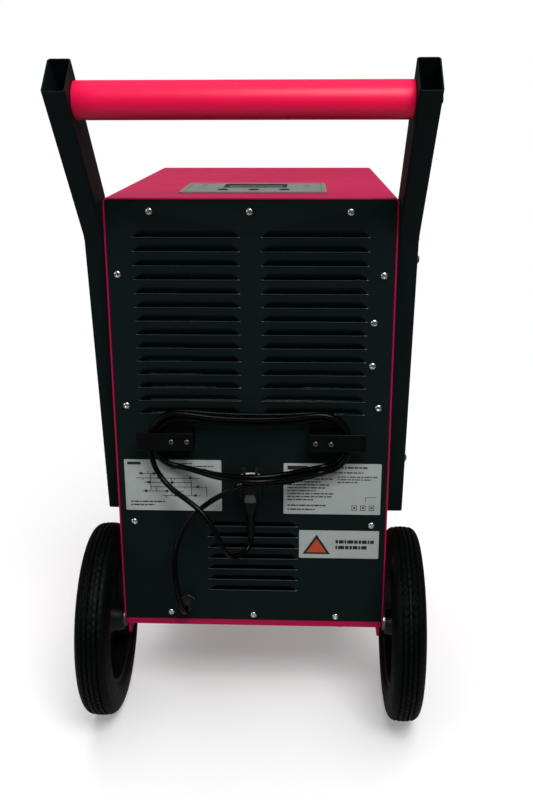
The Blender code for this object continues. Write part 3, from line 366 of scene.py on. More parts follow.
# dark metal for the plug pins: painted shade on pins that sit in shadow
SHADED_PIN_METAL = plated("plug_pin_painted_shade", (0.07, 0.07, 0.068), 0.30, 0.50)
ALUMINIUM = plated("mill_aluminium", (0.66, 0.67, 0.68), 0.28, 0.50, (0.2, 1, 1))
SHEET_ZINC = galvanised("galvanised_sheet")
FINS = finned("fin_pack")
COPPER = copper("copper_pipe")
BOARD = circuit("circuit_board")
SMOKED = smoked("tank_plastic")
FILM = printed_film("control_film", (0.175, 0.180, 0.165), 0.42)
LENS = printed_film("display_lens", (0.060, 0.066, 0.062), 0.22)
LABEL = printed_film("label_film", (0.37, 0.41, 0.395), 0.45)
PRINT = printed_film("label_print", (0.0035, 0.0042, 0.0045), 0.50)
AMBER = printed_film("label_amber", (0.50, 0.055, 0.012), 0.45)
# bright matte white for the plug's earth contacts: a painted glint in place of their metal reflection
GLINT_WHITE = printed_film("earth_contact_painted_glint", (0.66, 0.67, 0.65), 0.30)

MATERIAL_OF_SLOT = {
    "red_paint": RED, "grey_paint": GREY, "tyre_rubber": TYRE, "black_rubber": RUBBER,
    "black_plastic": BLACK, "black_metal": GLOSS_BLACK, "zinc": ZINC, "aluminium": ALUMINIUM,
    "copper": COPPER, "membrane": FILM, "dark_window": BLACK, "board_green": BOARD,
    "clear_plastic": SMOKED}
SLOT_OF_NODE = {part["node"]: part["material_slot"] for part in frame["record"]["subparts"]}
SPECIAL_NODES = {
    "evaporator": FINS, "condenser": FINS, "fan_shroud": SHEET_ZINC, "mid_shelf": SHEET_ZINC,
    # the push bar takes the lighter crimson copy: painted light
    "handle_bar": LIT_BAR_RED}
for label, thing in nodes.items():
    thing.data.materials.clear()
    thing.data.materials.append(SPECIAL_NODES.get(label, MATERIAL_OF_SLOT[SLOT_OF_NODE[label]]))


# ---------------------------------------------------------------- mesh helpers
def mesh_of(name, builder, materials, smooth_angle=35, shade=True):
    """The builder's mesh, smooth but for edges sharper than the angle."""
    bmesh.ops.recalc_face_normals(builder, faces=builder.faces)
    mesh = bpy.data.meshes.new(name)
    builder.to_mesh(mesh)
    builder.free()
    if shade:
        mesh.shade_smooth()
    mesh.set_sharp_from_angle(angle=math.radians(smooth_angle))
    for material in materials if isinstance(materials, list) else [materials]:
        mesh.materials.append(material)
    return mesh


def add_piece(name, builder, material, body="machine", stands_for=(), bevel=0.0, smooth_angle=35,
              shade=True):
    """Turn a bmesh into a piece that rides on a body and may stand for CAD nodes."""
    piece = linked(name, mesh_of(name, builder, material, smooth_angle, shade))
    if bevel:
        rounding = piece.modifiers.new("rounded_edges", "BEVEL")
        rounding.width, rounding.segments = bevel, 3
        rounding.limit_method, rounding.angle_limit = "ANGLE", math.radians(40)
        rounding.harden_normals = True
    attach(piece, body)
    if stands_for:
        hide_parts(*stands_for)
    return piece


def skinned(loops, ring=False, builder=None, material=0):
    """Quads between equal-length closed loops, with end caps unless they close in a ring."""
    builder = bmesh.new() if builder is None else builder
    rows = [[builder.verts.new(point) for point in loop] for loop in loops]
    for low, high in list(zip(rows, rows[1:])) + ([(rows[-1], rows[0])] if ring else []):
        for here in range(len(low)):
            after = (here + 1) % len(low)
            face = builder.faces.new((low[here], low[after], high[after], high[here]))
            face.material_index = material
    if not ring:
        for row in (rows[0], rows[-1]):
            builder.faces.new(row).material_index = material
    return builder


AXES = {
    "X": lambda along, radius, angle: (along, radius * math.sin(angle), radius * math.cos(angle)),
    "Y": lambda along, radius, angle: (radius * math.sin(angle), along, radius * math.cos(angle)),
    "Z": lambda along, radius, angle: (radius * math.cos(angle), radius * math.sin(angle), along)}


def turned(profile, axis, centre, steps=64, closed=False, wobble=None, builder=None):
    """Spin (along, radius) pairs; wobble(angle, index) may change a point's radius."""
    loops = []
    for index, (along, radius) in enumerate(profile):
        angles = [math.tau * step / steps for step in range(steps)]
        loops.append([Vector(centre) + Vector(AXES[axis](
            along, radius + (wobble(angle, index) if wobble else 0.0), angle)) for angle in angles])
    return skinned(loops, closed, builder)


def hexagon(angle, radius, share):
    """What turns a circle into a hexagon; share is its half width across the flats over the radius."""
    return radius * (share / math.cos(angle % (math.pi / 3) - math.pi / 6) - 1)


def rounded_rectangle(width, height, radius, steps=6):
    points = []
    for sx, sy, start in ((1, 1, 0), (-1, 1, 90), (-1, -1, 180), (1, -1, 270)):
        for step in range(steps + 1):
            angle = math.radians(start + 90 * step / steps)
            points.append((sx * (width / 2 - radius) + radius * math.cos(angle),
                           sy * (height / 2 - radius) + radius * math.sin(angle)))
    return points


def frames(centre, width, height, stages, upright=False, steps=6):
    """Rounded rectangles about a centre, flat or facing Y, one for each (level, inset, corner)."""
    loops = []
    for level, inset, corner in stages:
        outline = rounded_rectangle(width - 2 * inset, height - 2 * inset, corner, steps)
        loops.append([Vector(centre) + Vector((x, level, y) if upright else (x, y, level)) for x, y in outline])
    return loops


def eased(profile, radius, steps):
    """An open profile with each inner corner rounded off."""
    points = [profile[0]]
    for before, corner, after in zip(profile, profile[1:], profile[2:]):
        before, corner, after = Vector(before), Vector(corner), Vector(after)
        reach = min(radius, (before - corner).length * 0.45, (after - corner).length * 0.45)
        start = corner + (before - corner).normalized() * reach
        end = corner + (after - corner).normalized() * reach
        for step in range(steps + 1):
            t = step / steps
            points.append(tuple(start * (1 - t) ** 2 + corner * 2 * t * (1 - t) + end * t * t))
    points.append(profile[-1])
    return points


def rear_point(x, out, drop):
    """A point behind the machine: out from the rear panel's face, drop below its top edge."""
    return Vector((x, REAR_Y - out, PANEL_TOP - drop))


def smooth_line(points, per_span):
    """A Catmull-Rom line through points."""
    last = len(points) - 1
    line = []
    for span in range(last):
        before, start, end, after = (points[min(max(span + k, 0), last)] for k in (-1, 0, 1, 2))
        for step in range(per_span):
            t = step / per_span
            line.append(0.5 * (2 * start + (end - before) * t
                               + (2 * before - 5 * start + 4 * end - after) * t ** 2
                               + (3 * start - before - 3 * end + after) * t ** 3))
    return line + [points[-1].copy()]


def circle_about(place, along, across, radius, sides):
    """Points round a place, square to along."""
    level = along.cross(across)
    return [place + radius * (across * math.cos(math.tau * k / sides) + level * math.sin(math.tau * k / sides))
            for k in range(sides)]


def cut(builder, *cutters):
    """The builder's mesh with closed cutter meshes taken out of it, as a new bmesh."""
    things = []
    for shape in (builder, *cutters):
        bmesh.ops.recalc_face_normals(shape, faces=shape.faces)
        mesh = bpy.data.meshes.new("blank")
        shape.to_mesh(mesh)
        shape.free()
        things.append(linked("blank", mesh))
    for cutter in things[1:]:
        step = things[0].modifiers.new("cut", "BOOLEAN")
        step.object, step.solver = cutter, "EXACT"
    done = things[0].evaluated_get(bpy.context.evaluated_depsgraph_get())
    result = bmesh.new()
    result.from_mesh(done.data)
    for thing in things:
        mesh = thing.data
        bpy.data.objects.remove(thing, do_unlink=True)
        bpy.data.meshes.remove(mesh)
    return result


def block(low, high, builder=None):
    builder = bmesh.new() if builder is None else builder
    for vert in bmesh.ops.create_cube(builder, size=1)["verts"]:
        vert.co = Vector(low[k] + (vert.co[k] + 0.5) * (high[k] - low[k]) for k in range(3))
    return builder


def middle_of(label):
    low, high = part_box(label)
    return (Vector(low) + Vector(high)) / 2


# ---------------------------------------------------------------- casing
HEM_SIDE, HEM_TOP, HEM_NOSE = 0.0024, 0.0026, 0.0010
FLANGE, SHELL_CORNER, PANEL_CORNER, PANEL_SLACK = 0.020, 0.007, 0.0045, 0.0004
# half width, near and far edge of the opening under the control plate, and of the dark sheet on the base pan
# that paints shade on the cabinet floor
OPENING, SHADE_SHEET = (0.070, 0.088, 0.212), (0.1995, 0.014, 0.300)


def top_corners(half, top, corner, steps, order):
    """Points round both top corners, from the right if order is 1 and from the left if it is -1."""
    points = []
    for side, start in ((order, 90 - 90 * order), (-order, 90)):
        for step in range(steps + 1):
            angle = math.radians(start + order * 90 * step / steps)
            points.append((side * (half - corner) + corner * math.cos(angle),
                           top - corner + corner * math.sin(angle)))
    return points


def hoop(y, outer_inset, inner_side, inner_top):
    """One station of the shell: up the left side, over the top, down, and back inside."""
    loop = []
    for side_inset, top_inset, corner, order in (
            (outer_inset, outer_inset, SHELL_CORNER - outer_inset, 1),
            (inner_side, inner_top, max(SHELL_CORNER - inner_side, 0.003), -1)):
        half, top = HALF_WIDTH - side_inset, CABINET_TOP - top_inset
        path = [(-half, shell_low.z), *top_corners(half, top, corner, 12, -1), (half, shell_low.z)]
        loop += [(x, y, z) for x, z in path[::order]]
    return loop


def lying(patch, low, high):
    """A block between two heights over a patch of the cabinet."""
    half, near, far = patch
    return block((-half, REAR_Y + near, low), (half, REAR_Y + far, high))


def build_shell():
    """Top and sides folded from one sheet, with a rounded hem and an inner flange at each end."""
    stations = []
    for step in range(5):
        angle = math.radians(22.5 * step)
        draw = HEM_NOSE * (1 - math.sin(angle))
        stations.append((HEM_NOSE * (1 - math.cos(angle)) - 0.001, draw,
                         HEM_SIDE - 0.6 * draw, HEM_TOP - 0.6 * draw))
    recess = SHEET + GAP
    stations += [(recess, 0, HEM_SIDE, HEM_TOP), (recess, 0, FLANGE, FLANGE),
                 (recess + SHEET, 0, FLANGE, FLANGE), (recess + SHEET, 0, SHEET, SHEET)]
    loops = [hoop(REAR_Y + ahead, *insets) for ahead, *insets in stations]
    loops += [hoop(FRONT_Y - ahead, *insets) for ahead, *insets in stations[::-1]]
    builder = cut(skinned(loops), lying(OPENING, CABINET_TOP - 0.02, CABINET_TOP + 0.02))
    # faces inside the cabinet take the dark lining: painted shade on the inner side of the sheet
    for face in builder.faces:
        place = face.calc_center_median()
        inside = abs(place.x) < HALF_WIDTH - 0.9 * SHEET and place.z < CABINET_TOP - 0.9 * SHEET
        if inside and REAR_Y + recess + 0.5 * SHEET < place.y < FRONT_Y - recess - 0.5 * SHEET:
            face.material_index = 1
    add_piece("cabinet_shell", builder, [RED, SHADE_LINING], stands_for=["outer_shell"], smooth_angle=30)
    # a dark sheet on the base pan: painted shade on the cabinet floor seen through the louvres
    shade_floor = lying(SHADE_SHEET, pan_high.z - 0.0198, pan_high.z - 0.0165)
    add_piece("painted_shade_floor_sheet", shade_floor, SHADE_LINING, bevel=0.0008)


# middle x, drop, width and height of each louvre
LOUVRES = [(side * 0.094, 0.0512 + 0.0207 * row, 0.158, 0.0100) for row in range(14) for side in (-1, 1)]
LOUVRES += [(0.0, 0.5085 + 0.0190 * row, 0.145, 0.0085) for row in range(7)]
LOUVRE_INSET, LOUVRE_DEPTH, LOUVRE_GAPE = 0.009, 0.007, 0.0008
ACROSS = (0.0, 0.10, 0.25, 0.5, 0.75, 1.0)
DOWN = (0.0, 0.08, 0.2, 0.45, 0.75, 1.0)
EASE = 0.2
# the lip's section (rise, out), and the rows of it in a lighter metal: a painted highlight along the lip
CURL = mm((-3.0, 0), (-1.6, -0.2), (-0.8, -0.6), (-0.3, -1.0), (0.1, -1.0), (0.3, -0.3), (0.1, 1.1))
HIGHLIGHT_ROWS = (3, 4, 5)
GLAND_X, GLAND_DROP, GLAND_HOLE = -0.106, 0.642, 0.0083


def louvre_columns(half):
    """(share of half width, share of full depth) across a louvre whose ends are rounded over."""
    edge = LOUVRE_INSET / half
    left = [(-1 + edge * share, share * share * (3 - 2 * share)) for share in ACROSS]
    return left + [(-across, depth) for across, depth in left[::-1]]


def build_panel_sheet():
    """Rear panel with pressed louvres: each a rounded hood above a curled lip."""
    builder = bmesh.new()
    fills = ([], [])

    def point(u, v, w):
        return builder.verts.new((u, REAR_Y + w, v))

    def close(side, verts):
        for start, end in zip(verts, verts[1:] + verts[:1]):
            fills[side].append(builder.edges.get((start, end)) or builder.edges.new((start, end)))

    def strip(low, high, material=0):
        for here in range(len(low) - 1):
            face = builder.faces.new((low[here], low[here + 1], high[here + 1], high[here]))
            face.smooth, face.material_index = True, material

    half_panel, top_edge = HALF_WIDTH - HEM_SIDE - PANEL_SLACK, CABINET_TOP - HEM_TOP - PANEL_SLACK
    outline = [(-half_panel, panel_low.z), (half_panel, panel_low.z),
               *top_corners(half_panel, top_edge, PANEL_CORNER, 8, 1)]
    hole = [(GLAND_X + GLAND_HOLE * math.cos(math.tau * k / 32),
             PANEL_TOP - GLAND_DROP + GLAND_HOLE * math.sin(math.tau * k / 32)) for k in range(32)]
    for loop in (outline, hole):
        front, back = ([point(u, v, depth) for u, v in loop] for depth in (0.0, SHEET))
        close(0, front)
        close(1, back)
        for here in range(len(loop)):
            after = (here + 1) % len(loop)
            builder.faces.new((front[here], front[after], back[after], back[here]))

    for middle, drop, width, height in LOUVRES:
        half, slit = width / 2, PANEL_TOP - drop
        columns = louvre_columns(half)
        hood = []
        for thickness in (0.0, SHEET):
            rows = []
            for share in DOWN:
                reach = half - LOUVRE_INSET * (1 - share)
                level = slit + height - (height - LOUVRE_GAPE) * share
                sink = LOUVRE_DEPTH * (share if share > EASE else share * share / EASE * (2 - share / EASE))
                rows.append([point(middle + across * reach, level, thickness + sink * depth)
                             for across, depth in columns])
            for low, high in zip(rows, rows[1:]):
                strip(low, high)
            hood.append(rows)
        outer, inner = hood
        strip(outer[-1], inner[-1])
        lip = [[point(middle + across * half, slit + rise, out * depth if out < 0 else out)
                for across, depth in columns] for rise, out in CURL]
        back_edge = [point(middle + across * half, slit, SHEET) for across, _ in columns]
        # some lip rows take the lighter metal: a painted highlight along the lip
        for row, (low, high) in enumerate(zip(lip, lip[1:] + [back_edge])):
            strip(low, high, int(row in HIGHLIGHT_ROWS))
        right = [row[-1] for row in outer[1:]] + [row[-1] for row in lip[4::-1]]
        left = [row[0] for row in lip[:5]] + [row[0] for row in outer[:0:-1]]
        close(0, outer[0] + right + lip[0][-2:0:-1] + left)
        close(1, inner[0] + [row[-1] for row in inner[1:]] + back_edge[::-1] + [row[0] for row in inner[:0:-1]])
        for end in (0, -1):
            builder.faces.new((outer[-1][end], inner[-1][end], back_edge[end],
                               *[row[end] for row in lip[:3:-1]]))
    for edges in fills:
        for face in bmesh.ops.triangle_fill(builder, edges=edges, use_beauty=True)["geom"]:
            if isinstance(face, bmesh.types.BMFace):
                face.smooth = False
    add_piece("louvred_panel", builder, [GREY, LIP_HIGHLIGHT], stands_for=["rear_panel"], shade=False)


# ---------------------------------------------------------------- posts and push bar
POST_WIDTH, POST_DEPTH, POST_WALL, POST_ROUND = 0.030, 0.060, 0.002, 0.0042
POST_FOOT, POST_UPPER = 0.337, 0.272
LOWER_LEAN, UPPER_LEAN = math.radians(7.9), math.radians(41.7)
KINK = Vector((0, REAR_Y + 0.002, 0.790))
WELD, CHAMFER, BURR = 0.0030, 0.0006, 0.0004


def leaning(lean):
    """Up and ahead for a post that leans back."""
    return Vector((0, -math.sin(lean), math.cos(lean))), Vector((0, math.cos(lean), math.sin(lean)))


def build_posts():
    """Rectangular tubes with rounded corners, a dressed weld at the mitre and a deburred mouth."""
    low_up, low_ahead = leaning(LOWER_LEAN)
    high_up, high_ahead = leaning(UPPER_LEAN)
    mitre = (low_ahead + high_ahead).normalized()
    mitre = mitre / mitre.dot(low_ahead)
    foot = KINK - low_up * (KINK.z - POST_FOOT) / math.cos(LOWER_LEAN)
    head = KINK + high_up * POST_UPPER
    # place, direction ahead and shrink of each section: up the outside, then down the inside
    stages = [(foot, low_ahead, BURR), (foot + low_up * BURR, low_ahead, 0.0),
              (KINK - low_up * WELD, mitre, 0.0), (KINK - low_up * WELD * 0.6, mitre, -0.00035),
              (KINK, mitre, -0.00055), (KINK + high_up * WELD * 0.6, mitre, -0.00035),
              (KINK + high_up * WELD, mitre, 0.0),
              (head - high_up * CHAMFER, high_ahead, 0.0), (head, high_ahead, CHAMFER),
              (head, high_ahead, POST_WALL - 0.0005), (head - high_up * CHAMFER, high_ahead, POST_WALL),
              (KINK, mitre, POST_WALL), (foot, low_ahead, POST_WALL)]
    for _, label in SIDES:
        middle_x = middle_of(f"{label}_post").x
        loops = []
        for edge, ahead, shrink in stages:
            outline = rounded_rectangle(POST_WIDTH - 2 * shrink, POST_DEPTH - 2 * shrink,
                                        POST_ROUND - shrink if shrink < POST_WALL / 2 else 0.0024, 7)
            loops.append([edge + Vector((middle_x + x, 0, 0)) + ahead * (y + POST_DEPTH / 2)
                          for x, y in outline])
        add_piece(f"{label}_handle_post", skinned(loops, ring=True), GREY, stands_for=[f"{label}_post"],
                  smooth_angle=28)


def build_push_bar():
    low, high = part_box("handle_bar")
    half, radius = high.x, (high.z - low.z) / 2
    end = [(0, 0.0005), (0, radius * 0.5), (0, radius - 0.0012), (0.0004, radius - 0.0004),
           (0.0012, radius), (0.030, radius)]
    profile = [(-half + along, reach) for along, reach in end]
    profile += [(-half + half * step / 6, radius) for step in range(2, 11)]
    profile += [(half - along, reach) for along, reach in end[::-1]]
    add_piece("push_bar", turned(profile, "X", (0, *middle_of("handle_bar").yz), 96), LIT_BAR_RED,
              stands_for=["handle_bar"])


# ---------------------------------------------------------------- screws and bolts
# (share of height, share of radius) up each head's outline
PAN_HEAD = ((0, 0.96), (0.12, 1), (0.40, 0.985), (0.68, 0.88), (0.88, 0.66), (0.97, 0.40), (1, 0))
DOME_HEAD = ((0, 1), (0.10, 1), (0.34, 0.94), (0.60, 0.78), (0.84, 0.58), (0.96, 0.50), (0.94, 0.40),
             (0.40, 0.40), (0.36, 0))
FLANGE_HEAD = ((0, 1.25), (4 / 21, 1.25), (1 / 3, 1.05), (8 / 21, 1), (0.9, 1), (1, 0.82), (1, 0))


def fastener(outline, radius, height, shank, reach, steps=48, flats=(), flat_radius=1.0):
    """A fastener along +Z: a shank reaching below its head; some points of the outline are hexagonal."""
    profile = [(-reach, 0.0002), (-reach, shank), (0, shank)]
    profile += [(height * up, max(radius * out, 0.0002)) for up, out in outline]

    def wobble(angle, index):
        return hexagon(angle, flat_radius * radius, 0.87) if index in flats else 0.0
    return turned(profile, "Z", (0, 0, 0), steps, wobble=wobble)


def cross_head(radius, height, shank):
    """Pan head screw with a cross recess."""
    wings = []
    for long, wide in ((radius * 0.56, radius * 0.13), (radius * 0.13, radius * 0.56)):
        wing = block((-long, -wide, height * 0.35), (long, wide, height * 1.3))
        for vert in wing.verts:
            if vert.co.z < height:
                vert.co.x, vert.co.y = vert.co.x * 0.72, vert.co.y * 0.72
        wings.append(wing)
    return cut(fastener(PAN_HEAD, radius, height, shank, 0.0010, 40), *wings)


def fasten(name, mesh, place, direction, twist=0.0, stands_for=()):
    """Set one fastener with its head's top pointing along a direction."""
    piece = linked(name, mesh)
    turn = Vector(direction).to_track_quat("Z", "Y").to_matrix().to_4x4()
    piece.matrix_world = Matrix.Translation(place) @ turn @ Matrix.Rotation(twist, 4, "Z")
    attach(piece, "machine")
    if stands_for:
        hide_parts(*stands_for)


PANEL_SCREWS = [
    (-0.1458, 0.0138), (-0.0010, 0.0145), (0.1442, 0.0148), (-0.1958, 0.1053), (0.1944, 0.1061),
    (0.1823, 0.1763), (0.1816, 0.2424), (-0.1919, 0.3078), (0.1925, 0.3086), (-0.1887, 0.5023),
    (0.1880, 0.5042), (-0.1353, 0.6643), (0.0004, 0.6675), (0.1346, 0.6684)]
HOOK_SCREWS = [(-0.1208, 0.3558), (-0.0972, 0.3558), (0.0977, 0.3565), (0.1209, 0.3570)]
FRONT_SCREWS = [(side * x, drop) for side in (-1, 1) for x, drop in (
    (0.140, 0.014), (0.197, 0.110), (0.197, 0.330), (0.197, 0.560), (0.178, 0.664))] + [(0.0, 0.014)]
PAN_BOLTS = [(-0.138, 0.010), (0.142, 0.010), (-0.070, 0.300), (0.070, 0.300)]
POST_BOLTS = (("upper", 0.088), ("lower", 0.421))
HOOK_OUT = 0.0304


def post_axis_y(drop):
    """Where the middle of a post's lower run lies at a given drop."""
    height = PANEL_TOP - drop
    return KINK.y + (KINK.z - height) * math.tan(LOWER_LEAN) + POST_DEPTH / 2 / math.cos(LOWER_LEAN)


def build_fasteners():
    pan = mesh_of("pan_head_screw", cross_head(0.0054, 0.0030, 0.0022), SCREW_ZINC)
    small = mesh_of("small_pan_head_screw", cross_head(0.0042, 0.0024, 0.0020), DARK_SCREW)
    for number, (x, drop) in enumerate(PANEL_SCREWS, 1):
        fasten(f"panel_screw_{number:02d}", pan, rear_point(x, 0.0002, drop), (0, -1, 0), number * 1.9)
    for number, (x, drop) in enumerate(HOOK_SCREWS, 1):
        fasten(f"hook_screw_{number}", small, rear_point(x, HOOK_OUT, drop), (0, -1, 0), number * 2.3)
    for number, (x, drop) in enumerate(FRONT_SCREWS, 1):
        fasten(f"front_screw_{number:02d}", pan, (x, FRONT_Y + 0.0002, PANEL_TOP - drop), (0, 1, 0),
               number * 1.3)
    dome = mesh_of("dome_bolt", fastener(DOME_HEAD, 0.0080, 0.0052, 0.0040, 0.0300, flats=(9, 10),
                                         flat_radius=0.40), SCREW_ZINC, 50)
    for side, label in SIDES:
        low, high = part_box(f"{label}_post")
        seat = side * (max(-low.x, high.x) + GAP)
        for place, drop in POST_BOLTS:
            fasten(f"dome_bolt_{label}_{place}", dome, (seat, post_axis_y(drop), PANEL_TOP - drop),
                   (side, 0, 0), 0.4, stands_for=[f"post_bolt_{label}_{place}"])
        fasten(f"dome_bolt_{label}_bar", dome, (seat, *middle_of(f"bar_bolt_{label}").yz),
               (side, 0, 0), 0.9, stands_for=[f"bar_bolt_{label}"])
    pan_bolt = mesh_of("pan_bolt", fastener(FLANGE_HEAD, 0.0048, 0.0042, 0.0030, 0.0085, flats=(6, 7, 8)),
                       SCREW_ZINC, 40)
    for number, (x, setback) in enumerate(PAN_BOLTS):
        fasten(f"pan_bolt_{number + 1}", pan_bolt, (x, REAR_Y + setback, pan_low.z - GAP),
               (0, 0, -1), number * 0.5)


# ---------------------------------------------------------------- wheels
TREAD = mm((-17, 154.5), (-15.2, 155.2))
for groove, crown in ((-11.5, 155.8), (-3.8, 156.7), (3.8, 156.7), (11.5, 155.8)):
    TREAD += mm(*[(groove + along, crown + rise) for along, rise in (
        (-1.8, 0.2), (-1.2, -0.3), (-1.0, -2.7), (0, -3.2), (1.0, -2.7), (1.2, -0.3), (1.8, 0.2))])
    if groove == -3.8:
        TREAD += mm((0, 156.95))
TREAD += mm((15.2, 155.2), (17, 154.5))
SIDEWALL = mm(
    (-18.5, 104.2), (-21.2, 105.2), (-22.6, 108), (-23.2, 110), (-24.3, 111.2), (-24.8, 115), (-25.6, 119),
    (-26.2, 124), (-26.5, 129), (-26.2, 130), (-26.3, 131.2), (-25.8, 136), (-25, 141), (-24, 144),
    (-24.3, 145), (-23.6, 147), (-21.5, 150.8), (-19.2, 153))
BARREL = mm(
    (-18.5, 103.8), (18.5, 103.8), (19.6, 105.2), (20.6, 104.6), (20, 102.2), (18.5, 100.5), (15, 98.5),
    (7.8, 96.8), (6.2, 93), (5.8, 80), (7, 74), (9.2, 70), (9.8, 60), (8.6, 52), (6.4, 47), (6.2, 36),
    (8, 30), (14, 23.6), (25.3, 20.5), (26.5, 19.5), (26.5, 8.8), (-26.5, 8.8), (-26.5, 19.5),
    (-25.3, 20.5), (-10, 23.6), (0, 31), (2.2, 40), (2.4, 90), (2, 96), (-11, 98.5), (-18.5, 100.5),
    (-20, 102.2), (-20.6, 104.6), (-19.6, 105.2))
VALVE = mm((0, 0.4), (0, 5.2), (4, 5), (7, 3.4), (13, 3), (13.2, 3.8), (20.5, 3.8), (21, 3), (21, 0.4))
# distance from the axle, crest and share of full width along a rib of the disc
RIB_STATIONS = ((0.0200, 0.0168, 1.25), (0.0400, 0.0146, 1.0), (0.0700, 0.0136, 0.9),
                (0.0900, 0.0140, 1.0), (0.0995, 0.0156, 1.3))
RIBS_OF_TREAD = (-0.0152, -0.0077, 0.0, 0.0077, 0.0152)
SIPES, SPOKES = 84, 5


def tread_cuts(angle, index):
    """Saw-tooth nicks across the ribs, and short radial flutes on the shoulders."""
    first, last = len(SIDEWALL), len(SIDEWALL) + len(TREAD)
    phase = (angle * SIPES / math.tau) % 1.0
    if first < index < last - 1:
        along = TREAD[index - first][0]
        rib = min(range(5), key=lambda k: abs(along - RIBS_OF_TREAD[k]))
        tooth = (phase + 0.5 * (rib % 2)) % 1.0
        return -0.0011 * max(0.0, 1 - tooth * 3.2)
    if index in (first - 2, first - 1, last, last + 1):
        return -0.0007 * max(0.0, 1 - phase * 2.5)
    return 0.0


def disc_rib(side, matrix, builder):
    """One tapered rib of a wheel's disc, pointing up before the matrix turns it."""
    loops = []
    for reach, crest, share in RIB_STATIONS:
        half = [(-0.0062, 0.0030), (-0.0054, 0.0108), (-0.0036, crest - 0.0012), (-0.0014, crest)]
        section = half + [(-across, along) for across, along in half[::-1]]
        loops.append([matrix @ Vector((side * along, across * share, reach)) for across, along in section])
    skinned(loops, builder=builder)


def cap_dogs(angle, index):
    """Small dogs round an axle cap's flange."""
    return 0.0007 * (0.5 + 0.5 * math.cos(12 * angle)) if index in (2, 3) else 0.0


def build_wheels():
    far_wall = [(-along, reach) for along, reach in SIDEWALL[::-1]]
    for side, label in SIDES:
        centre = middle_of(f"tyre_{label}")
        body = f"{label}_wheel"
        profile = [(side * along, reach) for along, reach in SIDEWALL + TREAD + far_wall]
        add_piece(f"tread_{label}", turned(profile, "X", centre, SIPES * 4, True, tread_cuts), TYRE, body,
                  [f"tyre_{label}"], smooth_angle=42)

        disc = turned([(side * along, reach) for along, reach in BARREL], "X", centre, 72, closed=True)
        for spoke in range(SPOKES):
            angle = math.tau * (spoke + 0.25) / SPOKES
            disc_rib(side, Matrix.Translation(centre) @ Matrix.Rotation(angle, 4, "X"), disc)
        add_piece(f"wheel_disc_{label}", disc, GLOSS_BLACK, body, [f"rim_{label}"], smooth_angle=32)

        stem = turned(VALVE, "Z", (0, 0, 0), 20)
        place = Matrix.Translation(centre + Vector((side * 0.0135, 0, 0))) @ Matrix.Rotation(0.6, 4, "X")
        place = place @ Matrix.Translation((0, 0, -0.0975)) @ Matrix.Rotation(math.radians(40) * side, 4, "Y")
        bmesh.ops.transform(stem, matrix=place, verts=stem.verts)
        add_piece(f"valve_{label}", stem, RUBBER, body)

        low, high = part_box(f"hub_cap_{label}")
        start, depth = low.x if side > 0 else high.x, high.x - low.x
        cap = mm((0, 8.6), (0, 12.5), (0.6, 13), (1.6, 13), (2, 11.2), (4, 11))
        cap += [(depth - back, reach) for back, reach in mm((2.2, 10.4), (1, 8.6), (0.3, 5), (0, 0.3))]
        cap = turned([(start + side * along, reach) for along, reach in cap], "X", (0, *centre.yz), 72,
                     wobble=cap_dogs)
        add_piece(f"axle_cap_{label}", cap, ZINC, stands_for=[f"hub_cap_{label}"], smooth_angle=30)


def build_feet():
    profile = mm((0, 0.4), (0, 17.8), (0.8, 18.8), (3, 19.4))
    for ring in range(4):
        base, reach = 4.5 + 5.2 * ring, 19.3 - 0.6 * ring
        profile += mm((base, reach), (base + 1, reach - 1), (base + 2, reach - 1), (base + 3, reach - 0.3))
    profile += mm((27, 16.6), (29.2, 16), (30, 15), (30, 12.9), (5.2, 12.9), (5.2, 0.4))
    for _, label in SIDES:
        centre = (*middle_of(f"rubber_foot_{label}").xy, 0)
        add_piece(f"ferrule_{label}", turned(profile, "Z", centre), RUBBER,
                  stands_for=[f"rubber_foot_{label}"], smooth_angle=40)


# ---------------------------------------------------------------- plates on the panel, in millimetres
DASHES, DASH_GAP = (4.2, 7.5, 3.0, 9.8, 5.6), 1.3


def line_marks(x0, x1, drops, thickness, share):
    """Rows of short and long dashes that stand for printed lines."""
    marks = []
    for row, drop in enumerate(drops):
        x, dash = x0, 0
        end = x0 + (x1 - x0) * share[row % len(share)]
        while x < end - 1:
            length = DASHES[(row * 2 + dash) % 5]
            marks.append((x, drop, min(x + length, end), drop + thickness))
            x += length + DASH_GAP
            dash += 1
    return marks


def build_plate(name, x0, drop0, width, height, marks, triangles=()):
    """A printed plate: white film, dark marks measured from its corner, and perhaps a triangle."""
    def sheet(left, top, right, bottom, out, thickness, radius, steps, material):
        centre = rear_point((left + right) / 2000, out, (top + bottom) / 2000)
        skinned(frames(centre, (right - left) / 1000, (bottom - top) / 1000,
                       [(0, 0, radius), (-thickness, 0, radius)], True, steps), False, builder, material)

    builder = bmesh.new()
    sheet(x0, drop0, x0 + width, drop0 + height, 0.0001, 0.00035, 0.0016, 6, 0)
    for left, top, right, bottom in marks:
        sheet(x0 + left, drop0 + top, x0 + right, drop0 + bottom, 0.00042, 0.00008, 0.00002, 1, 1)
    for layer, points in enumerate(triangles):
        loops = [[rear_point((x0 + x) / 1000, 0.00042 + layer * 0.00005 + rise, (drop0 + drop) / 1000)
                  for x, drop in points] for rise in (0.0, 0.00006)]
        skinned(loops, False, builder, 1 + layer)
    add_piece(name, builder, [LABEL, PRINT, AMBER])


